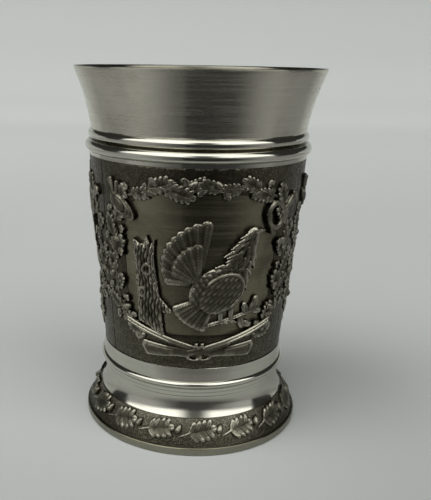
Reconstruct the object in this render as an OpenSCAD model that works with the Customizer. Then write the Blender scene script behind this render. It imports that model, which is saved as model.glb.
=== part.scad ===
// Footed pewter shot cup: a turned beaker with cast relief sweated round its wall,
// a beaded collar under the flared lip, and a moulded waist on a spreading foot.

/* [Cup] */
// Height from the table to the drinking edge
cup_h = 70; // [62:0.5:84]
// Outer diameter at the drinking edge
rim_d = 47.4; // [45:0.1:54]
// Wall thickness of the beaker
wall_t = 1.4; // [1:0.1:1.9]
// Thickness of the beaker's floor
floor_t = 1.8; // [1.2:0.1:3]
// Radius of the corner between floor and wall
floor_corner_r = 1.2; // [0.6:0.1:2]
// Capillary gap that the solder fills between two pieces
solder_gap = 0.05; // [0.02:0.01:0.1]

/* [Lip] */
// Height of the flared lip above the collar
lip_h = 11.2; // [8:0.05:14]
// Outer diameter where the lip springs from the collar
lip_foot_d = 41.3; // [41.1:0.05:41.9]
// Radius of the hollow curve of the flare
lip_flare_r = 45; // [35:1:70]
// Thickness of the drinking edge
lip_edge_t = 0.9; // [0.6:0.05:1.4]

/* [Wall] */
// Outer diameter of the wall where it meets the collar
wall_top_d = 41; // [40.2:0.1:41.2]
// Outer diameter of the wall where it stands on the waist
wall_bottom_d = 35.3; // [34.6:0.1:37]

/* [Collar] */
// Height of the collar
collar_h = 4.95; // [4.8:0.05:6.5]
// Thickness of the plain skirt
collar_skirt_t = 0.55; // [0.4:0.05:0.9]
// Height of the lowest step of the skirt
collar_step_h = 0.8; // [0.8:0.1:1.6]
// Section diameter of the upper bead
upper_bead_d = 2; // [1:0.05:2.3]
// How far the upper bead stands out from the wall
upper_bead_proud = 0.7; // [0.5:0.05:1]
// Section diameter of the lower, larger bead
lower_bead_d = 2.1; // [1.2:0.05:2.5]
// How far the lower bead stands out from the wall
lower_bead_proud = 1.3; // [1:0.05:1.6]

/* [Waist] */
// Height of the waist from the foot to the wall
waist_h = 10; // [8.5:0.1:13]
// Outer diameter of the waist's top edge
waist_top_d = 36.4; // [36.2:0.1:38]
// Outer diameter over the large bead
large_bead_over_d = 37.9; // [37.4:0.1:38.4]
// Section diameter of the large bead
large_bead_d = 1.4; // [1.1:0.05:1.6]
// Section diameter of the small bead below it
small_bead_d = 0.9; // [0.7:0.05:1.1]
// Height of the plain fillet under the small bead
waist_fillet_h = 0.8; // [0.5:0.05:1]
// Height of the hollow moulding
waist_hollow_h = 4.2; // [3:0.1:4.6]
// Diameter at the narrowest part of the hollow
waist_neck_d = 35.5; // [35:0.1:36.4]
// Outer diameter where the waist stands on the foot
waist_bottom_d = 37.9; // [37:0.1:38.2]
// Radius of the hollow's curve
waist_hollow_r = 7.5; // [5.5:0.5:14]
// Depth of the socket that takes the foot of the beaker
socket_h = 6.2; // [5:0.1:6.4]
// Thinnest wall of the waist round the socket, at its neck or its top edge
socket_wall = 0.6; // [0.5:0.05:1]
// Thickness of the ledge under the beaker's floor
ledge_t = 1.4; // [1:0.1:2]
// Width of that ledge
ledge_w = 2.3; // [1.5:0.1:3]

/* [Foot] */
// Height of the foot up to the waist
foot_h = 6.2; // [5:0.1:8]
// Outer diameter of the foot
foot_d = 44.2; // [43.8:0.1:50]
// Height of the plain band round the edge
foot_band_h = 1.6; // [1.2:0.1:3]
// Width of the ledges on both sides of the border
foot_ledge_w = 0.2; // [0.1:0.05:0.4]
// Chamfer along the edges of the band
foot_chamfer = 0.3; // [0.15:0.05:0.5]
// Wall thickness of the hollow foot
foot_wall = 1.3; // [1:0.1:1.8]
// Height of the register that enters the waist
register_h = 0.9; // [0.8:0.1:1.8]
// Wall of the register
register_t = 1.35; // [1:0.05:1.6]
// Leg of the solder fillet under the floor
solder_leg = 0.9; // [0.5:0.05:1.2]

/* [Oak border] */
// Thickness of the border ring
border_t = 0.6; // [0.4:0.05:0.9]
// Number of oak leaves round the border
border_leaves = 16; // [10:1:18]
// Length of a border leaf
border_leaf_l = 4.8; // [3:0.1:4.8]
// Width of a border leaf
border_leaf_w = 3; // [2:0.1:3]
// Diameter of a border acorn
border_acorn_d = 1.35; // [1:0.05:1.5]
// How far the border's leaves stand out
border_relief = 0.5; // [0.3:0.05:0.6]

/* [Wreath frames] */
// Number of relief panels round the wall
panels = 3; // [3]
// Thickness of the cast plate behind the wreath
plate_t = 0.35; // [0.25:0.05:0.5]
// Width of the seam between neighbouring plates
plate_seam = 0.2; // [0.1:0.05:0.5]
// Half the angle that a window in the plate spans
window_a = 45; // [42:0.5:46]
// Height of the plate above the window
band_top_h = 4.6; // [4:0.1:6]
// Height of the plate below the window
band_bottom_h = 6.6; // [6:0.1:8]
// Angle from the window's side out to the wreath's stem
stem_out_a = 7; // [6:0.5:8]
// Height from the window's top up to the wreath's stem
stem_out_h = 1.7; // [1.2:0.1:2.4]
// Length of a wreath leaf
leaf_l = 4.4; // [3:0.1:4.6]
// Width of a wreath leaf
leaf_w = 2.6; // [2:0.1:2.8]
// Angle at which the leaves leave the stem
leaf_spread = 38; // [25:1:50]
// How far the wreath's leaves stand out from the wall
leaf_relief = 0.85; // [0.6:0.05:1]
// How far the ribs stand out from the leaves
rib_proud = 0.2; // [0.1:0.05:0.3]
// Width of a leaf's rib
rib_w = 0.3; // [0.2:0.05:0.4]
// Diameter of a wreath acorn
acorn_d = 1.7; // [1.2:0.05:1.9]
// Width of a pair of gun barrels
barrel_w = 1; // [0.7:0.05:1.3]
// Slope of the gun barrels
barrel_rise_a = 17; // [12:1:20]
// How far the guns stand out from the wall
gun_relief = 1; // [0.8:0.05:1.1]

/* [Pictures] */
// Angle from the panel's middle to the bird's rump
bird_a = 2; // [0:0.5:4]
// How far the bird's tail stands out from the wall
tail_relief = 0.6; // [0.4:0.05:0.8]
// How far the bird's body stands out from the wall
body_relief = 1; // [0.9:0.05:1.1]
// How far the bird's wing stands out from the wall
wing_relief = 1.35; // [1.2:0.05:1.5]
// Angle from the panel's middle to the tree trunk
trunk_a = -30; // [-32:0.5:-28]
// How far the tree trunk stands out from the wall
trunk_relief = 0.8; // [0.6:0.05:1]
// How far the ridges of the bark stand out from the wall
bark_relief = 1.1; // [1.05:0.05:1.3]

/* [Hidden] */
$fn = 96;

polished = [0.80, 0.80, 0.77];
satin = [0.62, 0.61, 0.57];
antiqued = [0.34, 0.33, 0.28];

arc_steps = 10;
leaf_steps = 9;
tiny = 0.01;

// Heights of the joints, from the table up
wall_z = foot_h + waist_h;
lip_z = cup_h - lip_h;
collar_z = lip_z - collar_h;
base_z = wall_z - socket_h;
floor_z = base_z + floor_t;

// Radii of the beaker
rim_r = rim_d / 2;
wall_top_r = wall_top_d / 2;
wall_bottom_r = wall_bottom_d / 2;
lip_foot_r = lip_foot_d / 2;

// Radii of the waist and of the beaker's spigot in it
waist_top_r = waist_top_d / 2;
waist_bottom_r = waist_bottom_d / 2;
neck_r = waist_neck_d / 2;
socket_r = min(neck_r, waist_top_r) - socket_wall;
spigot_r = socket_r - solder_gap;
ledge_r = socket_r - ledge_w;

// Radii of the bowl, a wall's thickness inside the narrower of the two outlines that meet there
inner_bottom_r = min(spigot_r, wall_bottom_r) - wall_t;
inner_top_r = wall_top_r - wall_t;
inner_lip_r = min(lip_foot_r, wall_top_r) - wall_t;

// Lines of the foot
foot_r = foot_d / 2;
flange_bottom_r = foot_r - foot_chamfer - foot_ledge_w;
flange_top_r = waist_bottom_r + foot_ledge_w;
flange_lean = atan2(flange_bottom_r - flange_top_r, foot_h - foot_band_h);
border_w = border_t / cos(flange_lean);
register_r = flange_top_r - border_w - 2 * foot_wall / cos(flange_lean);

// Relief panels
panel_a = 360 / panels;
window_z0 = wall_z + band_bottom_h;
window_z1 = collar_z - band_top_h;
window_mid_z = (window_z0 + window_z1) / 2;
window_half_h = (window_z1 - window_z0) / 2;

// Turns at which the wreath's leaves spring from its stem
leaf_step = 9;
leaf_turns = [for (t = [-27:leaf_step:207]) t];

// Outer radius of the wall at height z
function wall_r(z) = wall_bottom_r + (wall_top_r - wall_bottom_r) * (z - wall_z) / (collar_z - wall_z);

// Radius of the border's ground at height z
function flange_r(z) =
  flange_bottom_r + (flange_top_r - flange_bottom_r) * (z - foot_band_h) / (foot_h - foot_band_h);

// Half the window's width, seen square on
window_half_w = wall_r(window_mid_z) * sin(window_a);

// A picture is drawn in twelfths of the window's half width and half height
picture_u = [window_half_w / 12, window_half_h / 12];

// Points of an arc about c, from angle a0 to a1
function arc(c, r, a0, a1, n = arc_steps) =
  [for (i = [0:n]) let (a = a0 + (a1 - a0) * i / n) c + r * [cos(a), sin(a)]];

// Points of the hollow arc of radius r from p up to q, its centre on the outer side
function hollow_arc(p, q, r, n = arc_steps) =
  let (
    half = norm(q - p) / 2,
    side = [q[1] - p[1], p[0] - q[0]] / (2 * half),
    c = (p + q) / 2 + side * sqrt(r * r - half * half),
    a0 = atan2(p[1] - c[1], p[0] - c[0]),
    a1 = atan2(q[1] - c[1], q[0] - c[0])
  )
  arc(c, r, a0 < 0 ? a0 + 360 : a0, a1 < 0 ? a1 + 360 : a1, n);

// Points turned by angle a and then moved
function placed(points, a, move = [0, 0]) =
  [for (p = points) move + [p[0] * cos(a) - p[1] * sin(a), p[0] * sin(a) + p[1] * cos(a)]];

// Edge of a lobed oak leaf at t from 0 to 1, as [distance from the stem, half width]
function leaf_edge(l, w, t) =
  [l * t, w / 2 * pow(sin(180 * pow(t, 0.8)), 0.6) * (0.74 - 0.26 * cos(1080 * t))];

// Outline of an oak leaf of length l and width w along +X, its stem at the origin
function oak_leaf(l, w, n = leaf_steps) = concat(
  [for (i = [0:n]) leaf_edge(l, w, i / n)],
  [for (i = [n - 1:-1:1]) let (p = leaf_edge(l, w, i / n)) [p[0], -p[1]]]
);

// Outline of the rib along such a leaf
function leaf_rib(l) = [[l / 9, -rib_w / 2], [0.85 * l, 0], [l / 9, rib_w / 2]];

// Outline of a feather of length l and width w along +X, its tip rounded
function feather(l, w) = concat([[0, -w / 6]], arc([l - w / 2, 0], w / 2, -90, 90, 6), [[0, w / 6]]);

// Outline of the shaft along the outer half of such a feather
function feather_shaft(l, w) = [[l / 2, -w / 2], [0.95 * l, -w / 2], [0.95 * l, w / 2], [l / 2, w / 2]];

// Outline of an oval with half axes a and b
function oval(a, b) = [for (t = [0:15:345]) [a * cos(t), b * sin(t)]];

// Outline of a neck with ruffled edges, from width w0 at p to width w1 at q
function ruffled_neck(p, q, w0, w1, n = 5) =
  let (
    along = (q - p) / norm(q - p),
    side = [-along[1], along[0]],
    ruffle = norm(q - p) / n / 3,
    left = [for (i = [0:n]) p + (q - p) * i / n + side * (w0 + (w1 - w0) * i / n) / 2],
    right = [for (i = [n:-1:0]) p + (q - p) * i / n - side * (w0 + (w1 - w0) * i / n) / 2]
  )
  concat(
    [for (i = [0:n - 1]) each [left[i], left[i] + (along + side) * ruffle]],
    [left[n], right[0]],
    [for (i = [1:n]) each [right[i] + (along - side) * ruffle, right[i]]]
  );

// Point of the wreath's stem at turn t, as [angle from the panel's middle, height]
function stem_point(t) = [
  (window_a + stem_out_a) * sign(cos(t)) * sqrt(abs(cos(t))),
  window_mid_z + (window_half_h + stem_out_h) * sign(sin(t)) * sqrt(abs(sin(t)))
];

// Heading of the stem at turn t on the unrolled wall, towards the top of the panel
function stem_heading(t) =
  let (a = stem_point(t - 2), b = stem_point(t + 2))
  atan2(b[1] - a[1], (b[0] - a[0]) * wall_r(window_mid_z) * PI / 180) + (t > 90 ? 180 : 0);

// Revolves a closed outline of [radius, height] points
module turned(points) {
  rotate_extrude()
    polygon(points);
}

// Stands an outline upright at an angle and height, facing outwards, as a bar from the axis
module at_wall(a, z) {
  rotate([0, 0, a])
    translate([0, 0, z])
      rotate([90, 0, 0])
        linear_extrude(rim_r + wall_top_r)
          children();
}

// Cuts such bars to a relief between two distances out from the wall
module relief(inner, outer) {
  intersection() {
    turned([
      [wall_bottom_r + inner, wall_z],
      [wall_bottom_r + outer, wall_z],
      [wall_top_r + outer, collar_z],
      [wall_top_r + inner, collar_z]
    ]);
    union()
      children();
  }
}

// Turns a panel's piece to its place; the first panel faces -Y
module on_panel(i) {
  rotate([0, 0, panel_a * (i - 1)])
    children();
}

module beaker() {
  rim_round = lip_edge_t / 2;
  edge_z = cup_h - rim_round;
  outer_lip = hollow_arc([lip_foot_r, lip_z], [rim_r, edge_z], lip_flare_r);
  inner_lip = hollow_arc([inner_lip_r, lip_z], [rim_r - lip_edge_t, edge_z], lip_flare_r);
  color(satin)
    turned(concat(
      [
        [0, base_z],
        [spigot_r, base_z],
        [spigot_r, wall_z],
        [wall_bottom_r, wall_z],
        [wall_top_r, collar_z],
        [wall_top_r, lip_z]
      ],
      outer_lip,
      arc([rim_r - rim_round, edge_z], rim_round, 15, 165),
      [for (i = [arc_steps:-1:0]) inner_lip[i]],
      [[inner_top_r, collar_z]],
      arc([inner_bottom_r - floor_corner_r, floor_z + floor_corner_r], floor_corner_r, 0, -90, 6),
      [[0, floor_z]]
    ));
}

module collar() {
  bore_r = wall_top_r + solder_gap;
  skirt_r = wall_top_r + collar_skirt_t;
  upper_z = lip_z - upper_bead_d / 2 - solder_gap;
  lower_z = upper_z - (upper_bead_d + lower_bead_d) / 2 - solder_gap;
  step_z = collar_z + collar_step_h;
  color(polished)
    rotate_extrude()
      difference() {
        union() {
          translate([wall_top_r, collar_z])
            square([collar_skirt_t / 2, collar_h]);
          translate([wall_top_r + upper_bead_proud - upper_bead_d / 2, upper_z])
            circle(d = upper_bead_d);
          translate([wall_top_r + lower_bead_proud - lower_bead_d / 2, lower_z])
            circle(d = lower_bead_d);
          // Skirt that leans out to a step and hangs plain below it
          polygon([
            [wall_top_r, collar_z],
            [skirt_r, collar_z],
            [skirt_r, step_z],
            [skirt_r - solder_gap, step_z],
            [skirt_r + 2 * solder_gap, lower_z],
            [wall_top_r, lower_z]
          ]);
        }
        translate([0, collar_z - 1])
          square([bore_r, collar_h + 2]);
      }
}

module waist_ring() {
  hollow_z = foot_h + waist_hollow_h;
  fillet_z = hollow_z + waist_fillet_h;
  fillet_r = neck_r + small_bead_d / 2;
  small_bead_z = fillet_z + small_bead_d / 2;
  large_bead_z = fillet_z + small_bead_d + large_bead_d / 2;
  large_bead_c = (large_bead_over_d - large_bead_d) / 2;
  color(polished)
    rotate_extrude()
      difference() {
        union() {
          // Hollow moulding that flares down to the foot
          polygon(concat(
            [[ledge_r, foot_h], [waist_bottom_r, foot_h]],
            hollow_arc([waist_bottom_r, foot_h + foot_chamfer / 2], [neck_r, hollow_z], waist_hollow_r),
            [[ledge_r, hollow_z]]
          ));
          translate([ledge_r, hollow_z - tiny])
            square([fillet_r - ledge_r, waist_fillet_h + small_bead_d + 2 * tiny]);
          translate([fillet_r, small_bead_z])
            circle(d = small_bead_d);
          translate([large_bead_c, large_bead_z])
            circle(d = large_bead_d);
          // Core that carries the beads, half as thick as the wall round the socket
          translate([ledge_r, hollow_z])
            square([socket_r + socket_wall / 2 - ledge_r, wall_z - hollow_z]);
          // Slope from the large bead in to the top edge
          polygon([
            [ledge_r, small_bead_z + small_bead_d / 2],
            [large_bead_c, small_bead_z + small_bead_d / 2],
            [large_bead_c + large_bead_d / 4, large_bead_z + large_bead_d / 3],
            [waist_top_r, wall_z],
            [ledge_r, wall_z]
          ]);
        }
        // Socket for the beaker, and recess for the foot's register below the ledge
        translate([0, base_z])
          square([socket_r, socket_h + 1]);
        translate([0, foot_h - 1])
          square([register_r + solder_gap, base_z - ledge_t - foot_h + 1]);
      }
}

module foot() {
  plate_z = foot_h - foot_wall;
  recess_w = border_w + solder_gap / cos(flange_lean);
  hollow_w = recess_w + foot_wall / cos(flange_lean);
  color(polished)
    turned([
      [register_r - register_t, plate_z],
      [flange_r(plate_z) - hollow_w, plate_z],
      [flange_r(0) - hollow_w, 0],
      [foot_r - foot_chamfer, 0],
      [foot_r, foot_chamfer],
      [foot_r, foot_band_h - foot_chamfer],
      [foot_r - foot_chamfer, foot_band_h],
      [flange_bottom_r - recess_w, foot_band_h],
      [flange_top_r - recess_w, foot_h],
      [register_r, foot_h],
      [register_r, foot_h + register_h],
      [register_r - register_t, foot_h + register_h]
    ]);
}

// Cone of the border's ground, between two distances out from it, measured level
module border_shell(inner, outer) {
  turned([
    [flange_bottom_r + inner, foot_band_h],
    [flange_bottom_r + outer, foot_band_h],
    [flange_top_r + outer, foot_h],
    [flange_top_r + inner, foot_h]
  ]);
}

// Lays a piece on the sloping border at an angle, its +Y up the slope and +Z out of it
module on_border(a) {
  rotate([0, 0, a])
    translate([0, -(flange_top_r + flange_bottom_r) / 2, (foot_h + foot_band_h) / 2])
      rotate([90 - flange_lean, 0, 0])
        children();
}

// Border leaf that stands out to a height and leans up the slope
module border_leaf(outline, height) {
  lean_a = 10;
  rotate(lean_a)
    translate([-border_leaf_l / 2, -border_leaf_w / 12, -border_t])
      linear_extrude(border_t + height)
        polygon(outline);
}

module oak_border_ring() {
  pitch = 360 / border_leaves;
  leaf_a = 0.12 * pitch;
  acorn_a = 0.42 * pitch;
  color(antiqued)
    union() {
      border_shell(-border_w, 0);
      intersection() {
        border_shell(-border_w / 2, border_relief / cos(flange_lean));
        union()
          for (i = [0:border_leaves - 1])
            on_border(i * pitch + leaf_a)
              border_leaf(oak_leaf(border_leaf_l, border_leaf_w), 2 * border_relief);
      }
      for (i = [0:border_leaves - 1]) {
        on_border(i * pitch + leaf_a)
          border_leaf(leaf_rib(border_leaf_l), border_relief + rib_proud);
        on_border(i * pitch - acorn_a)
          translate([0, border_leaf_w / 3, 0])
            sphere(d = border_acorn_d);
      }
    }
}

module base_solder_fillet() {
  color(satin)
    turned(concat(
      [[ledge_r, base_z]],
      arc([ledge_r - solder_leg, base_z - solder_leg], solder_leg, 0, 90, 6)
    ));
}

// Cast plate with its window, as wide as one panel
module wreath_plate() {
  seam_a = plate_seam / wall_bottom_r * 180 / PI;
  difference() {
    rotate([0, 0, -90 - (panel_a - seam_a) / 2])
      rotate_extrude(angle = panel_a - seam_a)
        polygon([
          [wall_bottom_r + solder_gap, wall_z],
          [wall_bottom_r + solder_gap + plate_t, wall_z],
          [wall_top_r + solder_gap + plate_t, collar_z],
          [wall_top_r + solder_gap, collar_z]
        ]);
    at_wall(0, window_mid_z)
      polygon([for (t = [0:10:350]) [
        window_half_w * sign(cos(t)) * sqrt(abs(cos(t))),
        window_half_h * sign(sin(t)) * sqrt(abs(sin(t)))
      ]]);
  }
}

// Every second piece of foliage along the wreath's stem, from the first one given
module along_stem(first, outline) {
  for (k = [first:2:len(leaf_turns) - 1]) {
    p = stem_point(leaf_turns[k]);
    at_wall(p[0], p[1])
      rotate(stem_heading(leaf_turns[k]) + (first == 0 ? leaf_spread : -leaf_spread))
        polygon(outline);
  }
}

// Acorns between the leaves
module wreath_acorns() {
  for (k = [1:4:len(leaf_turns) - 1]) {
    p = stem_point(leaf_turns[k] + leaf_step / 2);
    rotate([0, 0, p[0]])
      translate([0, -wall_r(p[1]) - plate_t, p[1]])
        sphere(d = acorn_d);
  }
}

// One gun about the crossing: barrels rising to the right, butt low on the left
module gun() {
  muzzle = wall_r(window_z0) * sin(window_a);
  grip = 2.2 * barrel_w;
  butt = 0.75 * muzzle;
  rotate(barrel_rise_a)
    translate([-grip, -barrel_w / 2])
      square([muzzle / cos(barrel_rise_a) + grip, barrel_w]);
  polygon([
    [grip, -barrel_w / 4],
    [grip / 2, barrel_w],
    [-grip, barrel_w / 2],
    [-1.6 * grip, 0.7 * barrel_w],
    [-butt, 1.1 * barrel_w],
    [-0.88 * butt, -1.5 * barrel_w],
    [-1.6 * grip, -1.3 * barrel_w],
    [-grip / 2, -1.2 * barrel_w]
  ]);
}

module wreath_frame(i) {
  crossing_z = wall_z + band_bottom_h / 2 + barrel_w / 2;
  on_panel(i)
    color(antiqued)
      union() {
        wreath_plate();
        for (row = [0, 1]) {
          relief(plate_t / 2, leaf_relief - row * plate_t / 2)
            along_stem(row, oak_leaf(leaf_l, leaf_w));
          relief(plate_t, leaf_relief + rib_proud - row * plate_t / 2)
            along_stem(row, leaf_rib(leaf_l));
        }
        relief(plate_t / 2, acorn_d)
          wreath_acorns();
        relief(plate_t / 2, gun_relief)
          at_wall(0, crossing_z) {
            gun();
            mirror([1, 0])
              gun();
          }
      }
}

// Draws a picture's outline at its real size
module drawn(points) {
  polygon([for (p = points) [p[0] * picture_u[0], p[1] * picture_u[1]]]);
}

// Fan of n feathers, or of their shafts, from length l0 at angle a0 to l1 at a1
module fan(root, n, l0, l1, w, a0, a1, shafts = false) {
  for (k = [0:n - 1]) {
    l = l0 + (l1 - l0) * k / (n - 1);
    drawn(placed(shafts ? feather_shaft(l, w) : feather(l, w), a0 + (a1 - a0) * k / (n - 1), root));
  }
}

// Displaying game bird on a branch, drawn about its rump
module game_bird(i) {
  rump_z = window_mid_z - 2.6 * picture_u[1];
  rump = [-1.2, 0];
  breast = [2.2, -0.8];
  shoulder = [2.2, -1.4];
  head = [7.2, 8.4];
  on_panel(i)
    color(antiqued)
      union() {
        relief(solder_gap, tail_relief)
          at_wall(bird_a, rump_z) {
            fan(rump, 10, 10.4, 5.4, 2.5, 85, 175);
            fan(shoulder, 6, 8, 8, 1.5, 206, 246);
            // Branch, and legs that stand on it
            drawn([[0.2, -7.9], [8.6, -5.6], [9, -4.7], [0.2, -7.1]]);
            for (x = [2.2, 4])
              drawn([[x, -7.4], [x + 0.8, -7.3], [x + 0.8, -3], [x, -3]]);
          }
        relief(tail_relief - solder_gap, tail_relief + 3 * solder_gap)
          at_wall(bird_a, rump_z)
            fan(rump, 10, 10.4, 5.4, 0.3, 85, 175, shafts = true);
        relief(tail_relief - solder_gap, body_relief)
          at_wall(bird_a, rump_z) {
            fan(rump, 6, 6.6, 4.6, 2.1, 94, 154);
            drawn(placed(oval(5, 3.5), 30, breast));
            drawn(ruffled_neck([4.6, 0.6], head, 4.6, 1.6));
            drawn(placed(oval(1.1, 1.1), 0, head));
            drawn([head + [0.5, 0.9], head + [2, 0.4], head + [0.6, -0.5]]);
          }
        relief(body_relief - solder_gap, wing_relief)
          at_wall(bird_a, rump_z) {
            drawn(placed(oval(3.4, 2.3), 35, shoulder));
            fan(shoulder, 4, 4.4, 4.4, 1.7, 200, 250);
          }
      }
}

// Old tree trunk with a broken top, a branch stub and spreading roots
module tree_trunk(i) {
  root_z = window_z0 + 2.6 * picture_u[1];
  ridges = 4;
  on_panel(i)
    color(antiqued)
      union() {
        relief(solder_gap, trunk_relief)
          at_wall(trunk_a, root_z)
            drawn([
              [-1.9, -0.5],
              [0.4, -0.5],
              [2.6, -1.5],
              [2.2, 2.4],
              [3, 4.2],
              [2.6, 5],
              [1.7, 4.4],
              [1.3, 9],
              [1.6, 13.8],
              [0.8, 12.8],
              [0.1, 14.4],
              [-0.9, 12.9],
              [-2.2, 13.7],
              [-2, 6]
            ]);
        relief(trunk_relief - solder_gap, bark_relief)
          at_wall(trunk_a, root_z)
            for (k = [0:ridges - 1]) {
              x = k * 0.8 - 1.2;
              drawn([[x, 1 + k % 2], [x + 0.45, 6.2], [x, 11.8 - k % 2], [x - 0.15, 7]]);
            }
      }
}

beaker();
collar();
waist_ring();
foot();
oak_border_ring();
base_solder_fillet();
for (i = [1:panels]) {
  wreath_frame(i);
  game_bird(i);
  tree_trunk(i);
}
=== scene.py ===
"""Footed pewter shot cup: turned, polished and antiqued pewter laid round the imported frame.

Sizes in the classes below are millimetres, as on a turner's drawing, and become metres when a mesh is made.
Relief is drawn on the unrolled wall: u runs to the right along the wall, z up, and h out of the metal.
"""
import logging
import math
from collections.abc import Callable, Iterable, Sequence
from dataclasses import dataclass
from enum import Enum

import bpy
import numpy as np
from bpy.types import ID, Material, Mesh, Node, NodeSocket, NodeTree, Object
from mathutils import Euler, Matrix, Vector


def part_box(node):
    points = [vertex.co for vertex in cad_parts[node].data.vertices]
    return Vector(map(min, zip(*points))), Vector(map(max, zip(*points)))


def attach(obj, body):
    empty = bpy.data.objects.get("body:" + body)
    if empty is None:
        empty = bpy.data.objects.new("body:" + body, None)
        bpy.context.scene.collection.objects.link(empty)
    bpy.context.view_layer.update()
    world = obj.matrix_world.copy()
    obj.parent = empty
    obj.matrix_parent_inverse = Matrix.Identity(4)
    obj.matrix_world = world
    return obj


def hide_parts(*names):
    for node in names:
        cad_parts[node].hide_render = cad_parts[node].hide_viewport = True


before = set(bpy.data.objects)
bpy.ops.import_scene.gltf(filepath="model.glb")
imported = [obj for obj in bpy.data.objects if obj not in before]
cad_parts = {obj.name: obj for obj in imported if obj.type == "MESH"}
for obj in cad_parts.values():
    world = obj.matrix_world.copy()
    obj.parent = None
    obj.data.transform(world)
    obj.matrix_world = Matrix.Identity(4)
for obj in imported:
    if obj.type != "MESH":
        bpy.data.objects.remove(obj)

LOG = logging.getLogger("shot_cup")

MM = 0.001
Array = np.ndarray
Point = tuple[float, float]
Colour = tuple[float, float, float]
Step = tuple[float, float, float, float]
Inputs = dict[str | int, object]
Placing = Callable[[NodeSocket, NodeSocket], tuple[NodeSocket, NodeSocket]]


class Slot(Enum):
    """Material slots of the record."""

    SATIN = "satin_pewter"
    POLISHED = "polished_pewter"
    ANTIQUED = "antiqued_pewter"
    SOLDER = "solder"


# Node graphs


class Graph:
    """Adds and links the nodes of one tree."""

    def __init__(self, tree: NodeTree) -> None:
        """Keeps the tree that the nodes go into."""
        self.tree = tree

    def feed(self, socket: NodeSocket, value: object) -> None:
        """Links a socket to an input, or sets the input's own value.

        Args:
            socket: The input that is fed.
            value: An output socket, or a plain value.
        """
        if isinstance(value, NodeSocket):
            self.tree.links.new(value, socket)
        else:
            socket.default_value = value

    def fill(self, node: Node, inputs: Inputs) -> None:
        """Feeds a node's inputs, given by name or number."""
        for key, value in inputs.items():
            self.feed(node.inputs[key], value)

    def add(self, kind: str, inputs: Inputs | None = None, **settings: object) -> Node:
        """Adds a node.

        Args:
            kind: The node's type name.
            inputs: Values or sockets for its inputs, by name or number.
            settings: Properties of the node itself.

        Returns:
            The new node.
        """
        node = self.tree.nodes.new(kind)
        for name, value in settings.items():
            setattr(node, name, value)
        self.fill(node, inputs or {})
        return node

    def math(self, operation: str, *values: object) -> NodeSocket:
        """Adds a Math node with sockets or numbers as its operands."""
        return self.add("ShaderNodeMath", dict(enumerate(values)), operation=operation).outputs[0]

    def times(self, first: object, second: object) -> NodeSocket:
        """Multiplies two values."""
        return self.math("MULTIPLY", first, second)

    def plus(self, first: object, second: object) -> NodeSocket:
        """Adds two values."""
        return self.math("ADD", first, second)

    def minus(self, first: object, second: object) -> NodeSocket:
        """Takes the second value from the first."""
        return self.math("SUBTRACT", first, second)

    def ramp(
        self, value: object, low: float, high: float, to_low: float = 0.0, to_high: float = 1.0
    ) -> NodeSocket:
        """Adds a smooth step from one value to another, between low and high."""
        inputs = dict(enumerate((value, low, high, to_low, to_high)))
        return self.add("ShaderNodeMapRange", inputs, interpolation_type="SMOOTHSTEP").outputs[0]

    def turn(self, angle: NodeSocket, step: Step) -> NodeSocket:
        """Adds a smooth step over an angle, whose start and end are given in degrees."""
        return self.ramp(angle, math.radians(step[0]), math.radians(step[1]), *step[2:])

    def blend(self, factor: object, first: object, second: object) -> NodeSocket:
        """Mixes two colours, the factor being the share of the second."""
        inputs = {0: factor, 6: rgba(first), 7: rgba(second)}
        return self.add("ShaderNodeMix", inputs, data_type="RGBA", clamp_factor=True).outputs[2]

    def place(self, kind: str = "Object") -> NodeSocket:
        """Adds one kind of coordinates."""
        return self.add("ShaderNodeTexCoord").outputs[kind]

    def split(self, vector: NodeSocket) -> Sequence[NodeSocket]:
        """Splits a vector into X, Y and Z."""
        return self.add("ShaderNodeSeparateXYZ", {0: vector}).outputs

    def vector(self, **axes: object) -> NodeSocket:
        """Joins X, Y and Z into a vector, with 0 for an axis that isn't given."""
        return self.add("ShaderNodeCombineXYZ", axes).outputs[0]

    def grey(self, value: NodeSocket) -> NodeSocket:
        """Turns one value into a grey."""
        return self.add("ShaderNodeCombineColor", dict.fromkeys(("Red", "Green", "Blue"), value)).outputs[0]

    def noise(self, place: NodeSocket, scale: object, **inputs: float) -> NodeSocket:
        """Adds a noise texture and gives its value."""
        return self.add("ShaderNodeTexNoise", {"Vector": place, "Scale": scale, **inputs}).outputs[0]

    def random(self, low: object, high: object, seed: object) -> NodeSocket:
        """Adds a random number between low and high for each element."""
        inputs = {2: low, 3: high, "Seed": seed}
        return self.add("FunctionNodeRandomValue", inputs, data_type="FLOAT").outputs[1]

    def group(self, tree: NodeTree, **inputs: object) -> Sequence[NodeSocket]:
        """Adds a shader group and gives its outputs."""
        return self.add("ShaderNodeGroup", inputs, node_tree=tree).outputs


class GroupGraph(Graph):
    """Graph of a node group, with the sockets of the group itself."""

    def __init__(self, name: str, kind: str, inputs: dict[str, object], outputs: dict[str, str]) -> None:
        """Starts the group.

        Args:
            name: The group's name.
            kind: The tree's type.
            inputs: Socket types, or types with a default, by name.
            outputs: Socket types by name.
        """
        super().__init__(bpy.data.node_groups.new(name, kind))
        for label, spec in inputs.items():
            socket_type, default = spec if isinstance(spec, tuple) else (spec, None)
            socket = self.tree.interface.new_socket(label, in_out="INPUT", socket_type=socket_type)
            if default is not None:
                socket.default_value = default
        for label, socket_type in outputs.items():
            self.tree.interface.new_socket(label, in_out="OUTPUT", socket_type=socket_type)
        self.inputs = self.add("NodeGroupInput").outputs
        self.outputs = self.add("NodeGroupOutput").inputs


def rgba(colour: object) -> object:
    """Gives a plain colour its alpha, and leaves a socket as it is."""
    return (*colour, 1.0) if isinstance(colour, tuple) and len(colour) == 3 else colour


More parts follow.
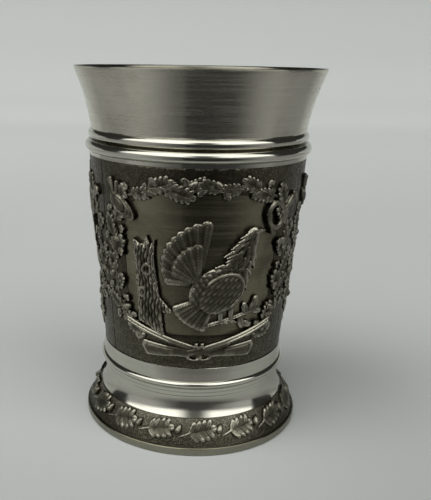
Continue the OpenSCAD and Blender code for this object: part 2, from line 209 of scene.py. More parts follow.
class SurfaceEffects:
    """Shader groups that several finishes share."""

    TREE = "ShaderNodeTree"
    FLOAT = "NodeSocketFloat"
    COLOUR = "NodeSocketColor"
    BRUSH_LAYERS = ((35.0, 2600.0, 0.45), (90.0, 9000.0, 0.55))
    STREAK_STEP = (0.36, 0.64)
    CLOUD_STEP = (0.38, 0.66)
    PIT_STEP = (0.1, 0.05)
    PIT_SHARE = 0.2
    GRAIN_SHARE = 0.6
    TOPS_STEP = (0.72, 1.05)
    UNEVEN_SCALE = 900.0
    UNEVEN_SHARE = 0.35
    MIDDLE_STEP = (0.12, 0.52)
    RUBBED_STEP = (0.5, 0.92)

    def __init__(self) -> None:
        """Builds the groups once."""
        self.lathe = self._lathe_brush()
        self.wear = self._handling_wear()
        self.stipple = self._stipple()
        self.patina = self._patina()

    def _lathe_brush(self) -> NodeTree:
        """Fine lines that run round the axis, as an abrasive leaves them on the lathe.

        Returns:
            The group, with a streak mask and a height.
        """
        outputs = {"Streak": self.FLOAT, "Height": self.FLOAT}
        graph = GroupGraph("Lathe Brush", self.TREE, {"Fineness": (self.FLOAT, 1.0)}, outputs)
        place = graph.place()
        layers = []
        for around, along, share in self.BRUSH_LAYERS:
            stretched = {0: place, 1: (around, around, along)}
            lines = graph.add("ShaderNodeVectorMath", stretched, operation="MULTIPLY").outputs[0]
            scaled = {0: lines, "Scale": graph.inputs["Fineness"]}
            fine = graph.add("ShaderNodeVectorMath", scaled, operation="SCALE").outputs[0]
            layers.append(graph.times(graph.noise(fine, 1.0, Detail=2.0), share))
        streak = graph.plus(*layers)
        graph.feed(graph.outputs["Streak"], graph.ramp(streak, *self.STREAK_STEP))
        graph.feed(graph.outputs["Height"], streak)
        return graph.tree

    def _handling_wear(self) -> NodeTree:
        """Cloudy tarnish and small pits.

        Returns:
            The group, with a cloud mask and a pit mask.
        """
        inputs = {"Cloud Scale": (self.FLOAT, 120.0), "Pit Scale": (self.FLOAT, 420.0)}
        graph = GroupGraph("Handling Wear", self.TREE, inputs, {"Cloud": self.FLOAT, "Pits": self.FLOAT})
        place = graph.place()
        cloud = graph.noise(place, graph.inputs["Cloud Scale"], Detail=4.0, Roughness=0.6)
        pitted = {"Vector": place, "Scale": graph.inputs["Pit Scale"]}
        cells = graph.add("ShaderNodeTexVoronoi", pitted).outputs
        lot = graph.add("ShaderNodeSeparateColor", {0: cells["Color"]}).outputs[0]
        chosen = graph.math("GREATER_THAN", lot, 1 - self.PIT_SHARE)
        graph.feed(graph.outputs["Cloud"], graph.ramp(cloud, *self.CLOUD_STEP))
        pits = graph.times(graph.ramp(cells["Distance"], *self.PIT_STEP), chosen)
        graph.feed(graph.outputs["Pits"], pits)
        return graph.tree

    def _stipple(self) -> NodeTree:
        """Ground matted with a fine punch.

        Returns:
            The group, with a height and a mask of the tops between the punch marks.
        """
        outputs = {"Height": self.FLOAT, "Tops": self.FLOAT}
        graph = GroupGraph("Stipple", self.TREE, {"Scale": (self.FLOAT, 2400.0)}, outputs)
        place, scale = graph.place(), graph.inputs["Scale"]
        marks = graph.add("ShaderNodeTexVoronoi", {"Vector": place, "Scale": scale}).outputs["Distance"]
        height = graph.plus(marks, graph.times(graph.noise(place, scale, Detail=3.0), self.GRAIN_SHARE))
        graph.feed(graph.outputs["Height"], height)
        graph.feed(graph.outputs["Tops"], graph.ramp(height, *self.TOPS_STEP))
        return graph.tree

    def _patina(self) -> NodeTree:
        """Dark patina left in the recesses and rubbed off the crests.

        Returns:
            The group, with a colour and a mask of the rubbed metal.
        """
        inputs = {"Crest": (self.FLOAT, 0.5), **dict.fromkeys(("Recess", "Middle", "Rubbed"), self.COLOUR)}
        graph = GroupGraph("Patina", self.TREE, inputs, {"Color": self.COLOUR, "Rubbed": self.FLOAT})
        uneven = graph.noise(graph.place(), self.UNEVEN_SCALE, Detail=3.0)
        lift = graph.times(graph.minus(uneven, 0.5), self.UNEVEN_SHARE)
        crest = graph.plus(graph.inputs["Crest"], lift)
        middle = graph.ramp(crest, *self.MIDDLE_STEP)
        low = graph.blend(middle, graph.inputs["Recess"], graph.inputs["Middle"])
        rubbed = graph.ramp(crest, *self.RUBBED_STEP)
        graph.feed(graph.outputs["Color"], graph.blend(rubbed, low, graph.inputs["Rubbed"]))
        graph.feed(graph.outputs["Rubbed"], rubbed)
        return graph.tree


# Finishes


@dataclass(frozen=True)
class TurnedFinish:
    """Pewter finished on the lathe."""

    name: str
    colour: Colour
    tarnish: Colour
    roughness: tuple[float, float]
    anisotropy: float
    fineness: float = 1.0
    brush_depth: float = 0.004
    tarnish_share: float = 0.35
    pit_depth: float = 0.6
    streak_share: float = 0.18
    dull_roughness: float = 0.12
    bump: float = 0.5

    def material(self, effects: SurfaceEffects) -> Material:
        """Builds the finish.

        Args:
            effects: The shared shader groups.

        Returns:
            The material.
        """
        lathe_turned = {"Metallic": 1.0, "Anisotropic": self.anisotropy, "Anisotropic Rotation": 0.25}
        material, graph, shader = new_surface(self.name, lathe_turned)
        brush = graph.group(effects.lathe, Fineness=self.fineness)
        wear = graph.group(effects.wear)
        clouds = graph.times(wear["Cloud"], self.tarnish_share)
        dull = graph.math("MAXIMUM", clouds, graph.times(wear["Pits"], self.pit_depth))
        streaked = graph.plus(dull, graph.times(brush["Streak"], self.streak_share))
        low, high = self.roughness
        rough = graph.math("MULTIPLY_ADD", brush["Streak"], high - low, low)
        height = graph.minus(brush["Height"], wear["Pits"])
        bump = {"Height": height, "Strength": self.bump, "Distance": self.brush_depth * MM}
        graph.fill(shader, {
            "Base Color": graph.blend(streaked, self.colour, self.tarnish),
            "Roughness": graph.math("MULTIPLY_ADD", dull, self.dull_roughness, rough),
            "Tangent": graph.add("ShaderNodeTangent", direction_type="RADIAL", axis="Z").outputs[0],
            "Normal": graph.add("ShaderNodeBump", bump).outputs[0],
        })
        return material


@dataclass(frozen=True)
class CastFinish:
    """Cast pewter, blackened and rubbed bright on its crests."""

    name: str
    recess: Colour
    middle: Colour
    rubbed: Colour
    roughness: tuple[float, float]
    stipple_scale: float
    stipple_depth: float
    stipple_share: float
    cloud_share: float = 0.12
    bump: float = 0.6

    def material(self, effects: SurfaceEffects) -> Material:
        """Builds the finish, which reads the piece's own crest attribute.

        Args:
            effects: The shared shader groups.

        Returns:
            The material.
        """
        material, graph, shader = new_surface(self.name, {"Metallic": 1.0})
        crest = graph.add("ShaderNodeAttribute", attribute_name="crest").outputs["Fac"]
        stipple = graph.group(effects.stipple, Scale=self.stipple_scale)
        wear = graph.group(effects.wear)
        tops = graph.times(stipple["Tops"], self.stipple_share)
        worn = graph.math("MULTIPLY_ADD", wear["Cloud"], self.cloud_share, graph.plus(crest, tops))
        colours = {"Recess": rgba(self.recess), "Middle": rgba(self.middle), "Rubbed": rgba(self.rubbed)}
        patina = graph.group(effects.patina, Crest=worn, **colours)
        high, low = self.roughness
        bump = {"Height": stipple["Height"], "Strength": self.bump, "Distance": self.stipple_depth * MM}
        graph.fill(shader, {
            "Base Color": patina["Color"],
            "Roughness": graph.math("MULTIPLY_ADD", patina["Rubbed"], low - high, high),
            "Normal": graph.add("ShaderNodeBump", bump).outputs[0],
        })
        return material


def new_surface(name: str, inputs: Inputs) -> tuple[Material, Graph, Node]:
    """Starts a material.

    Args:
        name: The material's name.
        inputs: Values of its shader's inputs.

    Returns:
        The material, its graph and its shader node.
    """
    material = bpy.data.materials.new(name)
    material.use_nodes = True
    graph, shader = Graph(material.node_tree), material.node_tree.nodes["Principled BSDF"]
    graph.fill(shader, inputs)
    return material, graph, shader


class Finishes:
    """All the finishes of the cup, as materials."""

    SATIN = TurnedFinish("satin_pewter", (0.61, 0.597, 0.505), (0.34, 0.328, 0.272), (0.17, 0.27), 0.85)
    DULLED = TurnedFinish("dulled_pewter", (0.29, 0.283, 0.23), (0.17, 0.165, 0.13), (0.2, 0.3), 0.85)
    POLISHED = TurnedFinish(
        "polished_pewter", (0.58, 0.575, 0.5), (0.38, 0.373, 0.322), (0.09, 0.16), 0.4, brush_depth=0.002,
        tarnish_share=0.2, pit_depth=0.4,
    )
    # Dark brushed ground of the wall, also used to paint shade in the grooves, corners and edges of the
    # turned pieces.
    DARK_PEWTER_AND_PAINTED_SHADE = TurnedFinish(
        "brushed_dark_ground", (0.215, 0.205, 0.140), (0.085, 0.079, 0.054), (0.18, 0.28), 0.85,
        fineness=0.8, brush_depth=0.006, tarnish_share=0.6,
    )
    SOLDER = TurnedFinish("soft_solder", (0.50, 0.50, 0.47), (0.28, 0.27, 0.24), (0.35, 0.5), 0.0)
    RELIEF = CastFinish(
        "antiqued_relief", (0.022, 0.020, 0.014), (0.10, 0.095, 0.070), (0.37, 0.355, 0.285), (0.46, 0.25),
        5200.0, 0.03, 0.08,
    )
    MATTED = CastFinish(
        "matted_ground", (0.024, 0.022, 0.015), (0.070, 0.065, 0.045), (0.16, 0.152, 0.112), (0.35, 0.25),
        4200.0, 0.05, 0.30,
    )
    # Worn ground of the border; its crest, set by height in OakBorder, is painted sheen above and painted
    # shade below.
    WORN_GROUND_AND_PAINTED_SHEEN = CastFinish(
        "worn_border_ground", (0.026, 0.024, 0.017), (0.092, 0.086, 0.062), (0.22, 0.21, 0.16), (0.42, 0.30),
        4600.0, 0.08, 0.40,
    )

    def __init__(self) -> None:
        """Builds the shared groups and every material."""
        effects = SurfaceEffects()
        self.satin = self.SATIN.material(effects)
        self.dulled = self.DULLED.material(effects)
        self.polished = self.POLISHED.material(effects)
        self.dark_pewter_and_painted_shade = self.DARK_PEWTER_AND_PAINTED_SHADE.material(effects)
        self.solder = self.SOLDER.material(effects)
        self.relief = self.RELIEF.material(effects)
        self.matted = self.MATTED.material(effects)
        self.worn_ground_and_painted_sheen = self.WORN_GROUND_AND_PAINTED_SHEEN.material(effects)


# Meshes


def link_object(name: str, data: ID) -> Object:
    """Makes an object at the origin.

    Args:
        name: The object's name.
        data: Its mesh, light or camera.

    Returns:
        The object, linked to the scene.
    """
    made = bpy.data.objects.new(name, data)
    bpy.context.scene.collection.objects.link(made)
    return made


def shade(mesh: Mesh, sharp_angle: float) -> None:
    """Shades a mesh smooth, apart from edges that turn by more than an angle in degrees."""
    mesh.polygons.foreach_set("use_smooth", np.ones(len(mesh.polygons), bool))
    mesh.set_sharp_from_angle(angle=math.radians(sharp_angle))


def make_object(
    name: str,
    points: Array,
    faces: Sequence[Sequence[int]],
    materials: Iterable[Material],
    crest: Array | None = None,
    material_of: Sequence[int] | None = None,
    sharp_angle: float = 40.0,
) -> Object:
    """Makes a smooth mesh object at the origin.

    Args:
        name: The object's name.
        points: Its corners, in millimetres.
        faces: Its faces, counter-clockwise from outside.
        materials: Its materials.
        crest: How far each corner stands above what is round it, from 0 to 1.
        material_of: The number of each face's material.
        sharp_angle: Edges that turn by more than this many degrees stay sharp.

    Returns:
        The object, linked to the scene.
    """
    mesh = bpy.data.meshes.new(name)
    mesh.from_pydata((np.asarray(points) * MM).tolist(), [], [tuple(face) for face in faces])
    for material in materials:
        mesh.materials.append(material)
    if crest is not None:
        store_crest(mesh, crest)
    if material_of is not None:
        mesh.polygons.foreach_set("material_index", np.asarray(material_of, np.int32))
    shade(mesh, sharp_angle)
    mesh.update()
    return link_object(name, mesh)


def store_crest(mesh: Mesh, crest: Array) -> None:
    """Writes the crest attribute that the cast finishes read."""
    attribute = mesh.attributes.new("crest", "FLOAT", "POINT")
    attribute.data.foreach_set("value", np.asarray(crest, np.float32).ravel())


def turned_copy(piece: Object, name: str, degrees: float) -> Object:
    """Copies a piece with its mesh turned about the cup's axis.

    Args:
        piece: The piece to copy.
        name: The copy's name.
        degrees: How far it is turned.

    Returns:
        The copy, linked to the scene.
    """
    mesh = piece.data.copy()
    mesh.transform(Matrix.Rotation(math.radians(degrees), 4, "Z"))
    mesh.name = name
    return link_object(name, mesh)


def arc(centre: Point, radius: float, start: float, end: float, steps: int = 12) -> list[Point]:
    """Points of an arc.

    Args:
        centre: Its centre, as radius and height.
        radius: Its radius.
        start: Its first angle in degrees.
        end: Its last angle in degrees.
        steps: How many chords it has.

    Returns:
        The points from start to end.
    """
    angles = [math.radians(start + (end - start) * k / steps) for k in range(steps + 1)]
    return [(centre[0] + radius * math.cos(a), centre[1] + radius * math.sin(a)) for a in angles]


def hollow_arc(low: Point, high: Point, radius: float, steps: int = 16) -> list[Point]:
    """Points of a hollow curve whose centre lies on the outer side.

    Args:
        low: Its lower end, as radius and height.
        high: Its upper end.
        radius: Its radius.
        steps: How many chords it has.

    Returns:
        The points from low to high.
    """
    (r0, z0), (r1, z1) = low, high
    half = math.hypot(r1 - r0, z1 - z0) / 2
    reach = math.sqrt(radius**2 - half**2) / (2 * half)
    centre = ((r0 + r1) / 2 + (z1 - z0) * reach, (z0 + z1) / 2 - (r1 - r0) * reach)
    start, end = (math.degrees(math.atan2(z - centre[1], r - centre[0])) % 360 for r, z in (low, high))
    return arc(centre, radius, start, end, steps)


@dataclass(frozen=True)
class Revolve:
    """Turns closed outlines into meshes."""

    segments: int = 240

    def piece(
        self,
        name: str,
        outline: Sequence[Point],
        materials: Sequence[Material],
        choose: Callable[[float, float], int] | None = None,
    ) -> Object:
        """Revolves a closed outline about the cup's axis.

        Args:
            name: The object's name.
            outline: Radius and height of each corner, counter-clockwise, with any corner on the axis once.
            materials: Its materials.
            choose: Gives the number of the material for a face's middle radius and height.

        Returns:
            The object.
        """
        angles = np.arange(self.segments) * 2 * math.pi / self.segments
        points: list[tuple[float, float, float]] = []
        rings: list[list[int]] = []
        for r, z in outline:
            first = len(points)
            if r < 1e-6:
                points.append((0.0, 0.0, z))
                rings.append([first] * self.segments)
            else:
                points.extend((r * math.cos(a), r * math.sin(a), z) for a in angles)
                rings.append(list(range(first, first + self.segments)))
        faces: list[tuple[int, ...]] = []
        chosen: list[int] = []
        for k, ring in enumerate(rings):
            after = (k + 1) % len(rings)
            if len(set(ring)) == 1 and len(set(rings[after])) == 1:
                continue
            middle = [(a + b) / 2 for a, b in zip(outline[k], outline[after])]
            for i in range(self.segments):
                j = (i + 1) % self.segments
                corners = (ring[i], ring[j], rings[after][j], rings[after][i])
                faces.append(tuple(dict.fromkeys(corners)))
                chosen.append(choose(*middle) if choose else 0)
        return make_object(name, np.array(points), faces, materials, material_of=chosen, sharp_angle=25.0)


# Relief on the wall


@dataclass(frozen=True)
class TaperedWall:
    """The cone of the beaker, on which relief is laid out unrolled."""

    low_z: float
    high_z: float
    low_r: float
    high_r: float

    @property
    def middle_r(self) -> float:
        """Radius at which lengths along u are true."""
        return (self.low_r + self.high_r) / 2

    def radius(self, z: Array | float) -> Array | float:
        """Radius of the wall at a height."""
        return self.low_r + (self.high_r - self.low_r) * (z - self.low_z) / (self.high_z - self.low_z)

    def u(self, degrees: float) -> float:
        """Length along the unrolled wall of an angle from the panel's middle."""
        return math.radians(degrees) * self.middle_r

    def lay(self, u: Array, z: Array, h: Array) -> Array:
        """Rolls points of the flat drawing round the wall.

        Args:
            u: Lengths to the right of the panel's middle.
            z: Heights.
            h: Distances out from the wall.

        Returns:
            The points, one row each, with the panel facing -Y.
        """
        angle = u / self.middle_r
        r = self.radius(z) + h
        return np.stack([r * np.sin(angle), -r * np.cos(angle), z], axis=-1)


class ReliefField:
    """Height field over part of the unrolled wall, in which a picture is modelled stroke by stroke."""

    def __init__(self, u_span: Point, z_span: Point, step: float) -> None:
        """Lays out an empty field.

        Args:
            u_span: Its left and right ends.
            z_span: Its lower and upper ends.
            step: The distance between its samples.
        """
        self.step = step
        self.u, self.z = np.meshgrid(np.arange(*u_span, step), np.arange(*z_span, step), indexing="ij")
        self.depth = np.full(self.u.shape, -1e3)
        self.height = np.zeros(self.u.shape)

    def local(self, at: Point, degrees: float = 0.0) -> tuple[Array, Array]:
        """Coordinates about a point, along a direction.

        Args:
            at: The origin.
            degrees: The direction of the first axis.

        Returns:
            Lengths along and across that direction.
        """
        c, s = math.cos(math.radians(degrees)), math.sin(math.radians(degrees))
        x, y = self.u - at[0], self.z - at[1]
        return x * c + y * s, y * c - x * s

    def add(
        self, depth: Array, base: float, crown: float, width: float, detail: Array | float = 0.0
    ) -> None:
        """Raises a rounded form, where it stands higher than what is there.

        Args:
            depth: Distance inside the form's outline, negative outside.
            base: Height at the outline.
            crown: How much higher its middle is.
            width: Depth at which it reaches that height.
            detail: Fine relief on top.
        """
        swell = np.clip(depth / width, 0.0, 1.0)
        top = base + crown * np.sqrt(1 - (1 - swell) ** 2) + detail
        self.height = np.where(depth > 0, np.maximum(self.height, top), self.height)
        self.depth = np.maximum(self.depth, depth)

    def stroke(self, start: Point, end: Point, r0: float, r1: float) -> Array:
        """Depth inside a tapering round-ended stroke.

        Args:
            start: Its first end.
            end: Its second end.
            r0: Half its width at the first end.
            r1: Half its width at the second end.

        Returns:
            The depth at each sample.
        """
        along = np.array(end) - np.array(start)
        x, y = self.u - start[0], self.z - start[1]
        t = np.clip((x * along[0] + y * along[1]) / float(along @ along), 0.0, 1.0)
        return r0 + (r1 - r0) * t - np.hypot(x - t * along[0], y - t * along[1])

    def oval(self, at: Point, a: float, b: float, degrees: float = 0.0) -> Array:
        """Depth inside an oval.

        Args:
            at: Its middle.
            a: Half its length.
            b: Half its width.
            degrees: The direction of its length.

        Returns:
            The depth at each sample.
        """
        x, y = self.local(at, degrees)
        return (1 - np.hypot(x / a, y / b)) * min(a, b)

    def outline(self, corners: Sequence[Point]) -> Array:
        """Depth inside a polygon.

        Args:
            corners: Its corners in order.

        Returns:
            The depth at each sample.
        """
        nearest = np.full(self.u.shape, 1e9)
        inside = np.zeros(self.u.shape, bool)
        for (x0, y0), (x1, y1) in zip(corners, [*corners[1:], corners[0]]):
            nearest = np.minimum(nearest, -self.stroke((x0, y0), (x1, y1), 0.0, 0.0))
            crosses = (y0 > self.z) != (y1 > self.z)
            where = x0 + (self.z - y0) * (x1 - x0) / (y1 - y0 if y1 != y0 else 1e-9)
            inside ^= crosses & (self.u < where)
        return np.where(inside, nearest, -nearest)

    def feather(
        self,
        root: Point,
        degrees: float,
        length: float,
        width: float,
        base: float,
        crown: float,
        barbs: float,
    ) -> None:
        """Raises a feather with a shaft and slanting barbs.

        Args:
            root: Where it springs from.
            degrees: Its direction.
            length: Its length.
            width: Its greatest width.
            base: Height at its edge.
            crown: How much higher its middle is.
            barbs: Depth of the barbs.
        """
        x, y = self.local(root, degrees)
        t = np.clip(x / length, 0.0, 1.0)
        beyond = np.maximum(x - (length - width / 2), 0.0) / (width / 2)
        half = width / 2 * (0.3 + 0.7 * t**0.7) * np.sqrt(np.clip(1 - beyond**2, 0, 1))
        depth = np.minimum.reduce([half - np.abs(y), x, length - x])
        combed = barbs * np.sin(2 * math.pi * (x + 0.8 * np.abs(y)) / 0.55)
        shaft = 0.12 * np.exp(-((y / 0.14) ** 2)) * (t < 0.93)
        self.add(depth, base, crown * (0.5 + 0.5 * t), width / 3, combed + shaft)

    def crest(self, reach: float = 0.55, gain: float = 1.9) -> Array:
        """How far each sample stands above its surroundings.

        Args:
            reach: Spread of the surroundings.
            gain: Contrast of the result.

        Returns:
            Values from 0 in the recesses to 1 on the crests.
        """
        span = int(3 * reach / self.step)
        weights = np.exp(-0.5 * (np.arange(-span, span + 1) * self.step / reach) ** 2)
        weights /= weights.sum()
        soft = np.pad(self.height, span)
        for axis in (0, 1):
            soft = np.apply_along_axis(np.convolve, axis, soft, weights, "valid")
        return np.clip(0.36 + gain * (self.height - soft), 0.0, 1.0)

    def shell(
        self,
        name: str,
        lay: Callable[[Array, Array, Array], Array],
        material: Material,
        back: float = 0.03,
        rubbed: float = 1.0,
        cap: float = 1.0,
    ) -> Object:
        """Closes the raised part of the field into a solid.

        Args:
            name: The object's name.
            lay: Puts points of the drawing in their place on the cup.
            material: Its finish.
            back: Height of its hidden side.
            rubbed: How bright its crests are, from 0 to 1.
            cap: Brightest crest that it may have.

        Returns:
            The object.
        """
        inside = self.depth > 0
        cells = inside[:-1, :-1] | inside[1:, :-1] | inside[:-1, 1:] | inside[1:, 1:]
        crest = np.minimum(rubbed * self.crest(), cap)
        u, z, height = self._on_outline(inside)
        used = np.zeros(inside.shape, bool)
        for di in (0, 1):
            for dj in (0, 1):
                used[di:di + cells.shape[0], dj:dj + cells.shape[1]] |= cells
        number = np.full(inside.shape, -1)
        count = int(used.sum())
        number[used] = np.arange(count)
        top = lay(u[used], z[used], height[used])
        under = lay(u[used], z[used], np.full(count, back))
        corner = [number[:-1, :-1], number[1:, :-1], number[1:, 1:], number[:-1, 1:]]
        upper = np.stack([c[cells] for c in corner], axis=-1)
        faces = [upper, upper[:, ::-1] + count]
        closed = np.pad(cells, 1)
        beside = [closed[1:-1, :-2], closed[2:, 1:-1], closed[1:-1, 2:], closed[:-2, 1:-1]]
        for side, neighbour in enumerate(beside):
            rim = cells & ~neighbour
            a, b = corner[side][rim], corner[(side + 1) % 4][rim]
            faces.append(np.stack([b, a, a + count, b + count], axis=-1))
        points = np.concatenate([top, under])
        shown = np.concatenate([crest[used], np.zeros(count)])
        return make_object(name, points, np.concatenate(faces).tolist(), [material], shown, sharp_angle=60.0)

    def _on_outline(self, inside: Array) -> tuple[Array, Array, Array]:
        """Draws the samples just outside the form on to its outline.

        Args:
            inside: Which samples lie in the form.

        Returns:
            The moved lengths and heights of all samples, and their heights out from the wall.
        """
        du, dz = np.gradient(self.depth, self.step)
        slope = np.maximum(du**2 + dz**2, 0.05)
        move = np.clip(-self.depth / slope, 0.0, self.step)
        norm = np.maximum(np.hypot(du, dz), 1e-6)
        near = np.where(inside, 0.0, move)
        height = self.height.copy()
        padded = np.pad(self.height, 1)
        for di in (0, 1, 2):
            for dj in (0, 1, 2):
                shifted = padded[di:di + height.shape[0], dj:dj + height.shape[1]]
                height = np.where(inside, height, np.maximum(height, 0.85 * shifted))
        return self.u + near * du / norm, self.z + near * dz / norm, np.maximum(height, 0.06)


# Foliage


def lay_flat(u: Array, z: Array, h: Array) -> Array:
    """Keeps points of a drawing flat, with its height along +Z."""
    return np.stack([u, z, h], axis=-1)


def step_from(at: Point, length: float, degrees: float) -> Point:
    """Point at a distance from another, in a direction."""
    lean = math.radians(degrees)
    return at[0] + length * math.cos(lean), at[1] + length * math.sin(lean)


@dataclass(frozen=True)
class OakLeaf:
    """Puffy lobed oak leaf along +X, its stalk reaching back past the origin."""

    length: float
    width: float
    height: float
    lobes: int = 3
    stalk: float = 0.25
    step: float = 0.17
    lobe_lean: float = 56.0

    def build(self, name: str, material: Material) -> Object:
        """Sculpts the leaf.

        Args:
            name: The object's name.
            material: Its finish.

        Returns:
            The object.
        """
        long, wide, high = self.length, self.width, self.height
        cast = ReliefField((-(self.stalk + 0.1) * long, 1.1 * long), (-0.65 * wide, 0.65 * wide), self.step)
        vein = -0.2 * high * np.exp(-((cast.z / 0.12) ** 2))
        blade = cast.stroke((0.14 * long, 0.0), (0.82 * long, 0.0), 0.15 * wide, 0.13 * wide)
        cast.add(blade, 0.3 * high, 0.3 * high, 0.14 * wide, vein)
        for k in range(self.lobes):
            share = k / max(self.lobes - 1, 1)
            reach = wide * (0.2 + 0.07 * math.sin(math.pi * (k + 0.8) / self.lobes))
            for side in (-1.0, 1.0):
                at, lean = ((0.22 + 0.54 * share) * long, side * reach), side * self.lobe_lean
                x, y = cast.local(at, lean)
                groove = -0.26 * high * np.exp(-((y / 0.1) ** 2)) * (x < 0.08 * wide)
                lobe = cast.oval(at, 0.29 * wide, 0.37 * long / self.lobes, lean)
                cast.add(lobe, 0.3 * high, (0.5 + 0.15 * (k % 2)) * high, 0.13 * wide, groove)
                swell = 0.46 + 0.14 * ((2 * k + (side > 0)) % 3)
                puff = cast.oval(step_from(at, 0.13 * wide, lean), 0.17 * wide, 0.125 * wide, lean)
                cast.add(puff, 0.3 * high, swell * high, 0.15 * wide, 0.5 * groove)
        tip = cast.oval((0.89 * long, 0.0), 0.13 * long, 0.21 * wide)
        cast.add(tip, 0.35 * high, 0.6 * high, 0.16 * wide, vein)
        stalk = cast.stroke((-self.stalk * long, -0.1 * wide), (0.12 * long, 0.0), 0.13, 0.2)
        cast.add(stalk, 0.3 * high, 0.35 * high, 0.16)
        return cast.shell(name, lay_flat, material, back=-0.12)


@dataclass(frozen=True)
class Acorn:
    """Acorn that lies along +X, half sunk, with a scaly cup at its stem end."""

    length: float
    width: float
    rings: int = 9
    sides: int = 10
    cup_share: float = 0.42
    cup_crest: float = 0.42
    nut_crest: float = 0.55

    def build(self, name: str, material: Material) -> Object:
        """Makes the acorn.

        Args:
            name: The object's name.
            material: Its finish.

        Returns:
            The object.
        """
        points = [(0.0, 0.0, 0.1 * self.width)]
        crest = [0.2]
        for k in range(1, self.rings):
            t = k / self.rings
            in_cup = t < self.cup_share
            top_crest = self.cup_crest if in_cup else self.nut_crest
            swell = math.sin(math.pi * t**0.9) ** 0.62 * (1.14 if in_cup else 0.94)
            for i in range(self.sides):
                a = 2 * math.pi * i / self.sides
                rough = 1.05 if in_cup and (i + k) % 2 else 1.0
                r = self.width / 2 * swell * rough
                points.append((self.length * t, r * math.cos(a), 0.1 * self.width + r * math.sin(a)))
                crest.append(0.15 + top_crest * max(math.sin(a), 0.0))
        points.append((self.length, 0.0, 0.1 * self.width))
        crest.append(0.5)
        faces: list[tuple[int, ...]] = []
        for i in range(self.sides):
            j = (i + 1) % self.sides
            faces.append((0, 1 + j, 1 + i))
            for k in range(self.rings - 2):
                low, high = 1 + k * self.sides, 1 + (k + 1) * self.sides
                faces.append((low + i, low + j, high + j, high + i))
            low = 1 + (self.rings - 2) * self.sides
            faces.append((low + i, low + j, len(points) - 1))
        return make_object(name, np.array(points), faces, [material], np.array(crest), sharp_angle=80.0)


